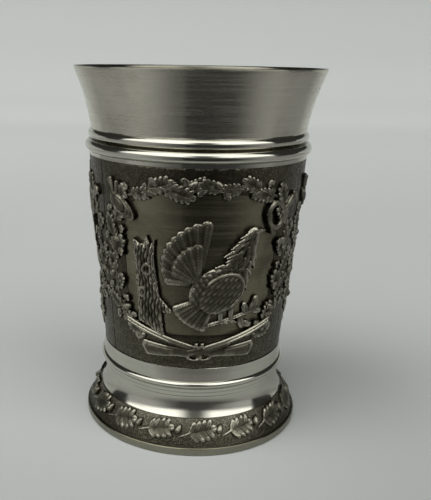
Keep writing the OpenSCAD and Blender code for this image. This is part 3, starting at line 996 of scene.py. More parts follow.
class FoliageTrees:
    """Geometry Nodes that lay leaves and acorns along stems and roll them round the cup."""

    TREE = "GeometryNodeTree"
    FLOAT = "NodeSocketFloat"
    WHOLE = "NodeSocketInt"
    OBJECT = "NodeSocketObject"
    GEOMETRY = "NodeSocketGeometry"
    MATERIAL = "NodeSocketMaterial"
    SHARP_ANGLE = 70.0
    TILT = 0.16
    JITTER = 0.22
    STEM_SIDES = 8
    STEM_CREST = 0.55
    STEM_LIFT = 1.2
    LEAF_LIFT = (0.7, 1.25)
    LIFT_SEED = 31
    FAN_LEAST = 0.8
    FAN_UPRIGHT = 0.9
    WREATH_ROWS = (("Leaf", 0.7, 3), ("Small Leaf", -1.5, 10), ("Acorn", 2.6, 17))
    WREATH_SIZES = (0.8, 1.12)
    BORDER_SIZES = (0.95, 1.05)
    BORDER_SEED = 11
    LEAF_RISE = -0.1 * MM
    ACORN_TURN = 1.15

    def __init__(self) -> None:
        """Builds both trees once."""
        self.wreath = self._wreath()
        self.border = self._border()

    def apply(
        self,
        piece: Object,
        tree: NodeTree,
        finish: Material,
        shapes: dict[str, OakLeaf | Acorn],
        values: Inputs,
    ) -> None:
        """Runs a tree on a piece and keeps its result as a plain mesh.

        Args:
            piece: The object that the tree starts from.
            tree: The tree.
            finish: Material of the foliage.
            shapes: What the tree lays out, by the name of the input.
            values: The tree's other inputs by name.
        """
        patterns = {name: shape.build(f"{name} pattern", finish) for name, shape in shapes.items()}
        given = {"Finish": finish, **patterns, **values}
        modifier = piece.modifiers.new("foliage", "NODES")
        modifier.node_group = tree
        for item in tree.interface.items_tree:
            if item.in_out == "INPUT" and item.name in given:
                modifier[item.identifier] = given[item.name]
        bpy.context.view_layer.update()
        result = bpy.data.meshes.new_from_object(piece.evaluated_get(bpy.context.evaluated_depsgraph_get()))
        piece.modifiers.remove(modifier)
        piece.data = result
        result.name = piece.name
        shade(result, self.SHARP_ANGLE)
        for pattern in patterns.values():
            bpy.data.objects.remove(pattern)

    def _group(self, name: str, objects: Sequence[str], numbers: Sequence[str], whole: str) -> GroupGraph:
        """Starts a tree.

        Args:
            name: The tree's name.
            objects: Names of its object inputs.
            numbers: Names of its number inputs.
            whole: Name of its whole-number input.

        Returns:
            The tree's graph.
        """
        inputs = {
            "Geometry": self.GEOMETRY,
            **dict.fromkeys(objects, self.OBJECT),
            **dict.fromkeys(numbers, self.FLOAT),
            whole: self.WHOLE,
            "Finish": self.MATERIAL,
        }
        return GroupGraph(name, self.TREE, inputs, {"Geometry": self.GEOMETRY})

    def _lay_out(
        self, graph: GroupGraph, points: NodeSocket, angle: object, kind: str, sizes: Point, seed: int
    ) -> NodeSocket:
        """Instances one kind of foliage on points.

        Args:
            graph: The tree's graph.
            points: The points.
            angle: Heading of each instance on the flat drawing.
            kind: Name of the object input that is instanced.
            sizes: Least and greatest size.
            seed: Seed of the sizes and tilts.

        Returns:
            The instances.
        """
        shape = graph.add("GeometryNodeObjectInfo", {"Object": graph.inputs[kind]}).outputs["Geometry"]
        size = graph.random(*sizes, seed)
        tilt = graph.random(-self.TILT, self.TILT, seed + 1)
        turn = graph.add("FunctionNodeEulerToRotation", {"Euler": graph.vector(X=tilt, Z=angle)}).outputs[0]
        inputs = {"Points": points, "Instance": shape, "Rotation": turn, "Scale": size}
        return graph.add("GeometryNodeInstanceOnPoints", inputs).outputs[0]

    def _roll(self, graph: GroupGraph, parts: Sequence[NodeSocket], place_at: Placing) -> None:
        """Joins flat parts, rolls them round the cup, dresses them and ends the tree.

        Args:
            graph: The tree's graph.
            parts: The flat geometry, with u along X, up along Y and out along Z.
            place_at: Gives the radius and the height from the up and out sockets.
        """
        joined = graph.add("GeometryNodeJoinGeometry")
        for part in parts:
            graph.feed(joined.inputs[0], part)
        solid = graph.add("GeometryNodeRealizeInstances", {"Geometry": joined.outputs[0]}).outputs[0]
        along, up, out = graph.split(graph.add("GeometryNodeInputPosition").outputs[0])
        angle = graph.math("DIVIDE", along, graph.inputs["Middle Radius"])
        radius, height = place_at(up, out)
        x = graph.times(radius, graph.math("SINE", angle))
        y = graph.times(graph.times(radius, graph.math("COSINE", angle)), -1.0)
        rolled = {"Geometry": solid, "Position": graph.vector(X=x, Y=y, Z=height)}
        moved = graph.add("GeometryNodeSetPosition", rolled).outputs[0]
        finish = {"Geometry": moved, "Material": graph.inputs["Finish"]}
        graph.feed(graph.outputs["Geometry"], graph.add("GeometryNodeSetMaterial", finish).outputs[0])

    def _stalks(self, graph: GroupGraph, stems: NodeSocket) -> NodeSocket:
        """Makes the stems round.

        Args:
            graph: The tree's graph.
            stems: The stems' curves.

        Returns:
            The stalks.
        """
        circle = {"Resolution": self.STEM_SIDES, "Radius": graph.inputs["Stem Radius"]}
        ring = graph.add("GeometryNodeCurvePrimitiveCircle", circle).outputs[0]
        swept = {"Curve": stems, "Profile Curve": ring, "Fill Caps": True}
        tube = graph.add("GeometryNodeCurveToMesh", swept).outputs[0]
        crest = {"Geometry": tube, "Name": "crest", "Value": self.STEM_CREST}
        shaded = graph.add("GeometryNodeStoreNamedAttribute", crest, data_type="FLOAT", domain="POINT")
        lift = graph.vector(Z=graph.times(graph.inputs["Ground"], self.STEM_LIFT))
        lifted = {"Geometry": shaded.outputs[0], "Offset": lift}
        return graph.add("GeometryNodeSetPosition", lifted).outputs[0]

    def _row(self, graph: GroupGraph, stems: NodeSocket, number: int) -> NodeSocket:
        """Sets one kind of foliage on alternate sides of the stems.

        Args:
            graph: The tree's graph.
            stems: The stems' curves.
            number: The row's number.

        Returns:
            The instances.
        """
        kind, side, seed = self.WREATH_ROWS[number]
        sockets = graph.inputs
        spaced = {"Curve": stems, "Length": sockets[f"{kind} Spacing"]}
        points = graph.add("GeometryNodeCurveToPoints", spaced, mode="LENGTH").outputs
        heading = graph.split(points["Tangent"])
        forward = graph.math("ARCTAN2", heading[1], heading[0])
        odd = graph.math("MODULO", graph.add("GeometryNodeInputIndex").outputs[0], 2.0)
        flip = graph.minus(graph.times(odd, 2.0), 1.0)
        jitter = graph.random(-self.JITTER, self.JITTER, graph.plus(sockets["Seed"], float(number)))
        upright = graph.math("ABSOLUTE", graph.math("SINE", forward))
        fan = graph.math("MULTIPLY_ADD", upright, self.FAN_UPRIGHT, self.FAN_LEAST)
        lean = graph.times(graph.times(flip, graph.times(sockets["Spread"], fan)), side)
        angle = graph.plus(graph.plus(forward, lean), jitter)
        low, high = (graph.times(sockets["Ground"], share) for share in self.LEAF_LIFT)
        lift = graph.vector(Z=graph.random(low, high, self.LIFT_SEED + number))
        seated = graph.add("GeometryNodeSetPosition", {"Geometry": points[0], "Offset": lift}).outputs[0]
        return self._lay_out(graph, seated, angle, kind, self.WREATH_SIZES, seed)

    def _wreath(self) -> NodeTree:
        """Leaves and acorns on alternate sides of each stem of a flat guide, on the tapered wall.

        Returns:
            The tree.
        """
        kinds = [row[0] for row in self.WREATH_ROWS]
        lengths = ("Stem Radius", "Ground", "Middle Radius", "Radius At Zero")
        numbers = (*(f"{kind} Spacing" for kind in kinds), *lengths, "Spread", "Taper")
        graph = self._group("Oak Wreath", kinds, numbers, "Seed")
        stems = graph.add("GeometryNodeMeshToCurve", {"Mesh": graph.inputs["Geometry"]}).outputs[0]
        rows = (self._row(graph, stems, number) for number in range(len(kinds)))

        def place_at(up: NodeSocket, out: NodeSocket) -> tuple[NodeSocket, NodeSocket]:
            """Radius of the cone at that height, plus the distance out, and the height itself."""
            cone = graph.math("MULTIPLY_ADD", up, graph.inputs["Taper"], graph.inputs["Radius At Zero"])
            return graph.plus(cone, out), up

        self._roll(graph, [self._stalks(graph, stems), *rows], place_at)
        return graph.tree

    def _border(self) -> NodeTree:
        """Leaf and acorn motif repeated round the sloping border of the foot.

        Returns:
            The tree.
        """
        starts = ("Leaf Start", "Acorn Start", "Acorn Rise")
        numbers = (*starts, "Pitch", "Leaf Lean", "Middle Radius", "Middle Height", "Slope")
        graph = self._group("Oak Border", ("Leaf", "Acorn"), numbers, "Count")
        sockets = graph.inputs
        offset = graph.vector(X=sockets["Pitch"])
        motifs = (
            ("Leaf", self.LEAF_RISE, sockets["Leaf Lean"]),
            ("Acorn", sockets["Acorn Rise"], self.ACORN_TURN),
        )
        parts = []
        for number, (kind, rise, angle) in enumerate(motifs):
            first = graph.vector(X=sockets[f"{kind} Start"], Y=rise)
            inputs = {"Count": sockets["Count"], "Start Location": first, "Offset": offset}
            line = graph.add("GeometryNodeMeshLine", inputs).outputs[0]
            seed = self.BORDER_SEED + number
            parts.append(self._lay_out(graph, line, angle, kind, self.BORDER_SIZES, seed))
        sine, cosine = (graph.math(name, sockets["Slope"]) for name in ("SINE", "COSINE"))

        def place_at(up: NodeSocket, out: NodeSocket) -> tuple[NodeSocket, NodeSocket]:
            """Radius and height at that distance up the slope and out of it."""
            inward = graph.minus(sockets["Middle Radius"], graph.times(up, sine))
            upward = graph.plus(sockets["Middle Height"], graph.times(up, cosine))
            return graph.plus(inward, graph.times(out, cosine)), graph.plus(upward, graph.times(out, sine))

        self._roll(graph, parts, place_at)
        return graph.tree


# The cup's sub-assemblies


@dataclass(frozen=True)
class CupFrame:
    """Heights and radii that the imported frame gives."""

    height: float
    rim_r: float
    lip_z: float
    collar_z: float
    wall_z: float
    base_z: float
    foot_h: float
    foot_r: float
    band_h: float

    @classmethod
    def read(cls) -> "CupFrame":
        """Reads the boxes of the turned nodes.

        Returns:
            The sizes, in millimetres.
        """
        names = ("beaker", "collar", "waist_ring", "foot", "oak_border_ring")
        boxes = {name: [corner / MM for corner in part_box(name)] for name in names}
        return cls(
            height=boxes["beaker"][1].z,
            rim_r=boxes["beaker"][1].x,
            lip_z=boxes["collar"][1].z,
            collar_z=boxes["collar"][0].z,
            wall_z=boxes["waist_ring"][1].z,
            base_z=boxes["beaker"][0].z,
            foot_h=boxes["waist_ring"][0].z,
            foot_r=boxes["foot"][1].x,
            band_h=boxes["oak_border_ring"][0].z,
        )


def settle(piece: Object, slot: Slot, *nodes: str) -> None:
    """Ties a finished piece to the cup.

    Args:
        piece: The piece.
        slot: The record's slot of its finish; not used.
        nodes: The frame's nodes that it stands for.
    """
    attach(piece, "root")
    if nodes:
        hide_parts(*nodes)
    LOG.info("%s: %d faces", piece.name, len(piece.data.polygons))


@dataclass
class TurnedBody:
    """Beaker, collar, waist and foot, all turned on the lathe."""

    cup: CupFrame
    finishes: Finishes
    lathe: Revolve = Revolve()
    wall_t: float = 1.4
    floor_t: float = 1.8
    floor_corner: float = 1.2
    wall_top_r: float = 20.5
    wall_bottom_r: float = 17.65
    lip_foot_r: float = 20.65
    lip_edge: float = 0.9
    rim_edge: float = 0.14
    flare_r: float = 45.0
    spigot_r: float = 17.1
    solder_gap: float = 0.05
    skirt_t: float = 0.55
    step_h: float = 0.8
    groove_r: float = 0.5
    upper_bead: Point = (2.0, 0.7)
    lower_bead: Point = (2.1, 1.3)
    waist_top_r: float = 18.2
    waist_bottom_r: float = 18.95
    neck_r: float = 17.75
    hollow_h: float = 4.2
    hollow_r: float = 7.5
    fillet_h: float = 0.8
    small_bead: float = 0.9
    large_bead: float = 1.4
    large_bead_r: float = 18.95
    ledge_w: float = 2.3
    ledge_t: float = 1.4
    edge_soft: float = 0.04
    flat_bead: float = 0.24
    chamfer: float = 0.3
    ledge: float = 0.2
    foot_wall: float = 1.3
    border_t: float = 0.6
    register_h: float = 0.9
    register_t: float = 1.35
    solder_leg: float = 0.9

    @property
    def wall(self) -> TaperedWall:
        """The tapered wall between waist and collar."""
        return TaperedWall(self.cup.wall_z, self.cup.collar_z, self.wall_bottom_r, self.wall_top_r)

    @property
    def flange(self) -> tuple[Point, Point]:
        """Lower and upper ends of the border's ground."""
        low = (self.cup.foot_r - self.chamfer - self.ledge, self.cup.band_h)
        return low, (self.waist_bottom_r + self.ledge, self.cup.foot_h)

    @property
    def flange_lean(self) -> float:
        """Lean of the border's ground from upright, in radians."""
        (r0, z0), (r1, z1) = self.flange
        return math.atan2(r0 - r1, z1 - z0)

    @property
    def register_r(self) -> float:
        """Outer radius of the foot's register."""
        return self.flange[1][0] - (self.border_t + 2 * self.foot_wall) / math.cos(self.flange_lean)

    @property
    def ledge_r(self) -> float:
        """Inner radius of the ledge under the beaker."""
        return self.spigot_r + self.solder_gap - self.ledge_w

    def build(self) -> None:
        """Builds and settles every turned piece."""
        self._beaker()
        self._collar()
        self._waist()
        self._foot()
        self._solder()

    def _beaker(self) -> None:
        """Flared satin beaker, dulled inside, with the panels' dark brushed ground on its wall and painted
        shade on its rim's edge.
        """
        cup = self.cup
        round_r = self.lip_edge / 2
        edge_z = cup.height - round_r
        floor_z = cup.base_z + self.floor_t
        inner_low = self.spigot_r - self.wall_t
        inner_high = self.wall_top_r - self.wall_t
        outer_lip = hollow_arc((self.lip_foot_r, cup.lip_z), (cup.rim_r, edge_z), self.flare_r, 28)
        inner_edge = (cup.rim_r - self.lip_edge, edge_z)
        inner_lip = hollow_arc((inner_high, cup.lip_z), inner_edge, self.flare_r, 28)
        corner = (inner_low - self.floor_corner, floor_z + self.floor_corner)
        radii, heights = zip((self.wall_bottom_r, cup.wall_z), (self.wall_top_r, cup.collar_z), *outer_lip)
        outline = [
            (0.0, cup.base_z), (self.spigot_r, cup.base_z), (self.spigot_r, cup.wall_z),
            (self.wall_bottom_r, cup.wall_z), (self.wall_top_r, cup.collar_z), (self.wall_top_r, cup.lip_z),
            *outer_lip,
            *arc((cup.rim_r - self.rim_edge, cup.height - self.rim_edge), self.rim_edge, 0, 75, 5),
            *arc((cup.rim_r - round_r, edge_z), round_r, 95, 165),
            *reversed(inner_lip),
            (inner_high, cup.collar_z),
            *arc(corner, self.floor_corner, 0, -90, 8),
            (0.0, floor_z),
        ]

        def choose(r: float, z: float) -> int:
            """Dulled inside, dark ground on the wall's outside, painted shade on the rim's edge, satin
            elsewhere.
            """
            outside = r > np.interp(z, heights, radii) - self.wall_t / 2
            if z > floor_z - self.solder_gap and not outside:
                return 2
            on_wall = cup.wall_z < z < cup.collar_z and outside
            # Painted shade: the rim's edge takes the dark finish.
            painted_shade_edge = z > cup.height - self.rim_edge
            return 1 if on_wall or painted_shade_edge else 0

        materials = [self.finishes.satin, self.finishes.dark_pewter_and_painted_shade, self.finishes.dulled]
        settle(self.lathe.piece("beaker_body", outline, materials, choose), Slot.SATIN, "beaker")

    def _collar(self) -> None:
        """Polished collar of two beads over a stepped skirt."""
        cup, soft = self.cup, self.edge_soft
        bore = self.wall_top_r + self.solder_gap
        skirt = self.wall_top_r + self.skirt_t
        upper_d, upper_proud = self.upper_bead
        lower_d, lower_proud = self.lower_bead
        upper_z = cup.lip_z - upper_d / 2 - self.solder_gap
        lower_z = upper_z - (upper_d + lower_d) / 2 - self.solder_gap
        step_z = cup.collar_z + self.step_h
        upper_c = (self.wall_top_r + upper_proud - upper_d / 2, upper_z)
        lower_c = (self.wall_top_r + lower_proud - lower_d / 2, lower_z)
        outline = [
            (bore, cup.collar_z), (skirt - 2 * soft, cup.collar_z), (skirt, cup.collar_z + 2 * soft),
            (skirt, step_z - 1.5 * soft), (skirt - 2.5 * soft, step_z),
            (skirt - 1.5 * soft, step_z + 1.5 * soft),
            *arc(lower_c, lower_d / 2, -74, 84, 20),
            *arc(upper_c, upper_d / 2, -64, 68, 20),
            (bore, cup.lip_z),
        ]

        def choose(r: float, z: float) -> int:
            """Painted shade deep in the groove between the beads, polish elsewhere."""
            # Painted shade: the dark finish deep in the groove between the beads.
            painted_shade_groove = lower_z < z < upper_z and r < self.wall_top_r + self.groove_r
            return 1 if painted_shade_groove else 0

        materials = [self.finishes.polished, self.finishes.dark_pewter_and_painted_shade]
        settle(self.lathe.piece("beaded_collar", outline, materials, choose), Slot.POLISHED, "collar")

    def _waist(self) -> None:
        """Polished waist: hollow, fillet, two beads and a slope, with the beaker's socket inside."""
        cup, soft = self.cup, self.edge_soft
        socket = self.spigot_r + self.solder_gap
        hollow_z = cup.foot_h + self.hollow_h
        fillet_z = hollow_z + self.fillet_h
        fillet_r = self.neck_r + self.small_bead / 2
        bead_r = fillet_r + self.flat_bead
        large_c = (self.large_bead_r - self.large_bead / 2, fillet_z + self.small_bead + self.large_bead / 2)
        recess = self.register_r + self.solder_gap
        recess_z = cup.base_z - self.ledge_t
        hollow_foot = (self.waist_bottom_r, cup.foot_h + self.chamfer / 2)
        outline = [
            (recess, cup.foot_h), (self.waist_bottom_r, cup.foot_h),
            *hollow_arc(hollow_foot, (self.neck_r, hollow_z), self.hollow_r),
            (fillet_r - 1.25 * soft, hollow_z + soft / 2), (fillet_r, hollow_z + 1.75 * soft),
            (fillet_r, fillet_z - soft / 2), (bead_r - soft, fillet_z + 2 * soft),
            (bead_r, fillet_z + 4 * soft), (bead_r, fillet_z + self.small_bead - 3 * soft),
            *arc(large_c, self.large_bead / 2, -62, 77),
            (self.waist_top_r + soft, cup.wall_z - 1.5 * soft), (self.waist_top_r - soft, cup.wall_z),
            (socket, cup.wall_z), (socket, cup.base_z), (self.ledge_r, cup.base_z), (self.ledge_r, recess_z),
            (recess, recess_z),
        ]

        def choose(r: float, z: float) -> int:
            """Painted shade in the corners beside the fillet, polish elsewhere."""
            # Painted shade: the dark finish in the corners beside the fillet.
            painted_shade_corner = abs(z - hollow_z) < 4 * soft or abs(z - fillet_z - soft) < 2.5 * soft
            return 1 if painted_shade_corner and r > self.neck_r - self.chamfer else 0

        materials = [self.finishes.polished, self.finishes.dark_pewter_and_painted_shade]
        settle(self.lathe.piece("moulded_waist", outline, materials, choose), Slot.POLISHED, "waist_ring")

    def _foot(self) -> None:
        """Hollow spreading foot with a dulled band round its edge and painted shade on the band's upper
        edge.
        """
        cup = self.cup
        (low_r, low_z), (high_r, high_z) = self.flange
        lean = math.cos(self.flange_lean)
        seat = (self.border_t + self.solder_gap) / lean
        hollow = seat + self.foot_wall / lean
        plate_z = cup.foot_h - self.foot_wall
        tilt = math.tan(self.flange_lean)
        inner = self.register_r - self.register_t
        outline = [
            (inner, plate_z), (high_r + (high_z - plate_z) * tilt - hollow, plate_z),
            (high_r + high_z * tilt - hollow, 0.0),
            (cup.foot_r - self.chamfer, 0.0),
            *arc((cup.foot_r - self.chamfer, self.chamfer), self.chamfer, -70, 0, 5),
            *arc((cup.foot_r - self.chamfer, cup.band_h - self.chamfer), self.chamfer, 0, 80, 5),
            (low_r - seat, low_z), (high_r - seat, high_z), (self.register_r, high_z),
            (self.register_r, high_z + self.register_h), (inner, high_z + self.register_h),
        ]

        def choose(r: float, z: float) -> int:
            """Painted shade on the band's upper edge, dulled elsewhere."""
            # Painted shade on the band's upper edge.
            painted_shade_edge = z > cup.band_h - 0.6 * self.chamfer and r > cup.foot_r - 2 * self.chamfer
            return 1 if painted_shade_edge else 0

        materials = [self.finishes.dulled, self.finishes.dark_pewter_and_painted_shade]
        settle(self.lathe.piece("spread_foot", outline, materials, choose), Slot.POLISHED, "foot")

    def _solder(self) -> None:
        """Run of solder in the corner under the floor."""
        corner = (self.ledge_r - self.solder_leg, self.cup.base_z - self.solder_leg)
        outline = [(self.ledge_r, self.cup.base_z), *reversed(arc(corner, self.solder_leg, 0, 90, 8))]
        piece = self.lathe.piece("solder_run", outline, [self.finishes.solder])
        settle(piece, Slot.SOLDER, "base_solder_fillet")


@dataclass
class OakBorder:
    """Conical cast ring on the foot: worn ground, painted lighter with sheen towards the waist and darker
    with shade towards the band, with oak leaves and acorns.
    """

    body: TurnedBody
    finishes: Finishes
    trees: FoliageTrees
    leaves: int = 16
    leaf: OakLeaf = OakLeaf(5.7, 3.9, 0.56, lobes=4)
    acorn: Acorn = Acorn(2.2, 1.45)
    leaf_lean: float = 10.0
    leaf_shift: float = 0.12
    acorn_shift: float = -0.5
    acorn_rise: float = -0.35
    painted_shade_crest: float = 0.03
    painted_sheen_rise: float = 0.43

    def build(self) -> None:
        """Builds the ground and lays the motif round it."""
        (r0, z0), (r1, z1) = self.body.flange
        depth = self.body.border_t / math.cos(self.body.flange_lean)
        outline = [(r0 - depth, z0), (r0, z0), (r1, z1), (r1 - depth, z1)]
        ground = self.body.lathe.piece("border_ground", outline, [self.finishes.worn_ground_and_painted_sheen])
        # Painted light and shade: the ground's crest rises with height, so it is lighter at the waist and
        # darker at the band.
        rise = np.array([vertex.co.z / MM for vertex in ground.data.vertices])
        store_crest(ground.data, self.painted_shade_crest + self.painted_sheen_rise * (rise - z0) / (z1 - z0))
        settle(ground, Slot.ANTIQUED, "oak_border_ring")
        middle_r = (r0 + r1) / 2
        pitch = 2 * math.pi * middle_r / self.leaves
        piece = make_object("border_leaves", np.zeros((1, 3)), [], [self.finishes.relief])
        shapes = {"Leaf": self.leaf, "Acorn": self.acorn}
        self.trees.apply(piece, self.trees.border, self.finishes.relief, shapes, {
            "Count": self.leaves,
            "Pitch": pitch * MM,
            "Leaf Lean": math.radians(self.leaf_lean),
            "Leaf Start": (self.leaf_shift * pitch - self.leaf.length / 2) * MM,
            "Acorn Start": self.acorn_shift * pitch * MM,
            "Acorn Rise": self.acorn_rise * MM,
            "Middle Radius": middle_r * MM,
            "Middle Height": (z0 + z1) / 2 * MM,
            "Slope": self.body.flange_lean,
        })
        settle(piece, Slot.ANTIQUED)


@dataclass
class HuntingPanels:
    """Three cast panels round the wall, each a wreath, a pair of guns, a tree and a game bird."""

    wall: TaperedWall
    finishes: Finishes
    trees: FoliageTrees
    panels: int = 3
    plate_t: float = 0.4
    seam: float = 0.06
    window_a: float = 45.0
    band_top: float = 4.6
    band_bottom: float = 6.6
    stem_out_a: float = 7.0
    stem_out_h: float = 1.2
    stem_power: float = 0.6
    stem_r: float = 0.28
    boughs: tuple[Point, Point] = ((-64.0, 87.4), (244.0, 92.6))
    bough_points: int = 60
    leaf_gap: float = 3.3
    small_leaf_gap: float = 2.3
    acorn_gap: float = 6.1
    spread: float = 22.0
    seed: int = 5
    edge_w: float = 1.8
    grain: float = 0.03
    leaf: OakLeaf = OakLeaf(4.4, 2.7, 0.53, lobes=4)
    small_leaf: OakLeaf = OakLeaf(2.8, 1.7, 0.45, lobes=2, stalk=0.1)
    acorn: Acorn = Acorn(2.1, 1.4)
    bird_a: float = 2.0
    trunk_a: float = -30.0

    @property
    def window(self) -> tuple[float, float, float]:
        """Half width of the window along u, its middle height and its half height."""
        low, high = self.wall.low_z + self.band_bottom, self.wall.high_z - self.band_top
        return self.wall.u(self.window_a), (low + high) / 2, (high - low) / 2

    def build(self) -> None:
        """Builds the first panel and copies it round the wall."""
        makers = (
            ("wreath_plate", self._plate, "wreath_frame"),
            ("wreath_leaves", self._wreath, ""),
            ("crossed_guns", self._guns, ""),
            ("hat_and_horn", self._trophies, ""),
            ("tree_trunk_cast", self._trunk, "tree_trunk"),
            ("game_bird_cast", self._bird, "game_bird"),
        )
        for name, make, node in makers:
            pieces = [make(f"{name}_1")]
            for number in range(1, self.panels):
                pieces.append(turned_copy(pieces[0], f"{name}_{number + 1}", 360.0 * number / self.panels))
            for number, piece in enumerate(pieces, start=1):
                settle(piece, Slot.ANTIQUED, *([f"{node}_{number}"] if node else []))

    def _plate(self, name: str) -> Object:
        """Curved plate with its window and a matted ground.

        Args:
            name: The object's name.

        Returns:
            The object.
        """
        half = self.wall.u(180.0 / self.panels) - self.seam / 2
        window_w, middle, window_h = self.window
        sheet = ReliefField((-half - 0.5, half + 0.5), (self.wall.low_z - 0.3, self.wall.high_z + 0.3), 0.24)
        above, below = sheet.z - self.wall.low_z, self.wall.high_z - sheet.z
        edge = np.minimum.reduce([half - np.abs(sheet.u), above, below])
        ring = ((sheet.u / window_w) ** 4 + ((sheet.z - middle) / window_h) ** 4) ** 0.25
        opening = (ring - 1) * min(window_w, window_h)
        rng = np.random.default_rng(12)
        grain = self.grain * np.clip(rng.standard_normal(sheet.u.shape), -2.0, 1.0)
        share = np.clip(opening / self.edge_w, 0.0, 1.0)
        run_out = self.plate_t * share * share * (3 - 2 * share)
        sheet.add(np.minimum(edge, opening), 0.05, 0.02, 0.4, run_out + grain * share)
        return sheet.shell(name, self.wall.lay, self.finishes.matted, cap=0.4)

    def _stem(self, turns: Array) -> Array:
        """Points of the wreath's stem on the flat drawing.

        Args:
            turns: Turns round the window in degrees.

        Returns:
            One row of u, z and 0 for each turn.
        """
        window_w, middle, window_h = self.window
        c, s = np.cos(np.radians(turns)), np.sin(np.radians(turns))
        u = (window_w + self.wall.u(self.stem_out_a)) * np.sign(c) * np.abs(c) ** self.stem_power
        z = middle + (window_h + self.stem_out_h) * np.sign(s) * np.abs(s) ** self.stem_power
        return np.stack([u, z, np.zeros_like(u)], axis=-1)

    def _wreath(self, name: str) -> Object:
        """Two oak boughs that rise beside the window and almost meet over it.

        Args:
            name: The object's name.

        Returns:
            The object.
        """
        boughs = [self._stem(np.linspace(*turns, self.bough_points)) for turns in self.boughs]
        points = np.concatenate(boughs)
        edges = [(k, k + 1) for k in range(len(points) - 1) if k + 1 != len(boughs[0])]
        mesh = bpy.data.meshes.new(name)
        mesh.from_pydata((points * MM).tolist(), edges, [])
        piece = link_object(name, mesh)
        shapes = {"Leaf": self.leaf, "Small Leaf": self.small_leaf, "Acorn": self.acorn}
        self.trees.apply(piece, self.trees.wreath, self.finishes.relief, shapes, {
            "Leaf Spacing": self.leaf_gap * MM,
            "Small Leaf Spacing": self.small_leaf_gap * MM,
            "Acorn Spacing": self.acorn_gap * MM,
            "Spread": math.radians(self.spread),
            "Stem Radius": self.stem_r * MM,
            "Ground": self.plate_t * MM,
            "Middle Radius": self.wall.middle_r * MM,
            "Radius At Zero": self.wall.radius(0.0) * MM,
            "Taper": (self.wall.high_r - self.wall.low_r) / (self.wall.high_z - self.wall.low_z),
            "Seed": self.seed,
        })
        return piece

    def _guns(self, name: str) -> Object:
        """Two double-barrelled guns crossed under the window.

        Args:
            name: The object's name.

        Returns:
            The object.
        """
        crossing = self.wall.low_z + self.band_bottom / 2 + 0.5
        cast = ReliefField((-18.0, 18.0), (crossing - 2.6, crossing + 6.0), 0.1)
        floor = self.plate_t * 0.7
        for side in (-1.0, 1.0):
            lift = 0.14 if side > 0 else 0.0

            def at(x: float, y: float, side: float = side) -> Point:
                """A point of the gun, mirrored for the second one."""
                return side * x, crossing + y

            for offset in (-0.3, 0.3):
                barrel = cast.stroke(at(-2.0, -0.45 + offset), at(14.6, 4.5 + offset), 0.34, 0.27)
                cast.add(barrel, floor + 0.2 + lift, 0.45, 0.3)
            fore = cast.stroke(at(0.0, -0.3), at(5.6, 1.25), 0.62, 0.45)
            cast.add(fore, floor + 0.2 + lift, 0.35, 0.4)
            stock = (
                (1.6, 0.9), (0.4, 0.75), (-2.2, 0.2), (-3.6, 0.45), (-10.9, 1.2), (-11.4, 0.0),
                (-10.3, -1.9), (-4.2, -1.3), (-2.6, -1.35), (-0.6, -0.9), (1.2, -0.4),
            )
            inset = ((-4.6, 0.15), (-9.9, 0.65), (-10.2, 0.0), (-9.5, -1.35), (-4.8, -0.95))
            cast.add(cast.outline([at(*p) for p in stock]), floor + 0.3 + lift, 0.25, 0.35)
            cast.add(cast.outline([at(*p) for p in inset]), floor + 0.42 + lift, 0.3, 0.5)
            guard = np.abs(cast.oval(at(-0.9, -1.3), 1.2, 0.6))
            cast.add(0.17 - guard, floor + 0.35 + lift, 0.2, 0.17)
            for x in (-0.2, 0.9):
                hammer = cast.stroke(at(x, 0.7), at(x - 0.5, 1.5), 0.26, 0.2)
                cast.add(hammer, floor + 0.5 + lift, 0.3, 0.22)
        return cast.shell(name, self.wall.lay, self.finishes.relief, rubbed=0.85)

    def _trophies(self, name: str) -> Object:
        """Hunter's hat on the left of the wreath and a horn on its right.

        Args:
            name: The object's name.

        Returns:
            The object.
        """
        _, middle, window_h = self.window
        cast = ReliefField((-19.0, 19.0), (middle + window_h - 11.0, self.wall.high_z - 0.3), 0.12)
        floor = self.plate_t
        hat = (self.wall.u(-44.0), middle + window_h - 3.0)
        brim = cast.oval(hat, 3.3, 1.45, -42.0)
        cast.add(brim, floor + 0.2, 0.35, 0.5, 0.1 * np.cos(2 * math.pi * brim / 0.5))
        cast.add(cast.oval((hat[0] - 0.55, hat[1] + 0.4), 1.9, 1.05, -42.0), floor + 0.35, 0.65, 0.9)
        band = 0.14 - np.abs(cast.oval((hat[0] - 0.45, hat[1] + 0.3), 2.05, 1.15, -42.0))
        cast.add(band, floor + 0.6, 0.2, 0.14)
        cast.feather((hat[0] - 1.4, hat[1] + 1.6), 108.0, 3.6, 1.2, floor + 0.4, 0.35, 0.04)
        cast.feather((hat[0] - 1.0, hat[1] + 1.4), 84.0, 3.2, 1.0, floor + 0.45, 0.35, 0.04)
        horn = (self.wall.u(40.0), middle + window_h - 4.2)
        cast.add(0.42 - np.abs(cast.oval(horn, 1.75, 2.3, 12.0)), floor + 0.3, 0.45, 0.42)
        bell = cast.stroke((horn[0] + 1.4, horn[1] + 0.4), (horn[0] + 4.6, horn[1] + 2.9), 0.4, 0.75)
        cast.add(bell, floor + 0.3, 0.45, 0.5)
        cast.add(cast.oval((horn[0] + 4.7, horn[1] + 3.0), 0.55, 1.1, 38.0), floor + 0.45, 0.4, 0.4)
        mouth = cast.stroke((horn[0] - 1.3, horn[1] - 1.3), (horn[0] - 0.6, horn[1] - 3.2), 0.34, 0.26)
        cast.add(mouth, floor + 0.3, 0.35, 0.3)
        return cast.shell(name, self.wall.lay, self.finishes.relief, rubbed=0.6)

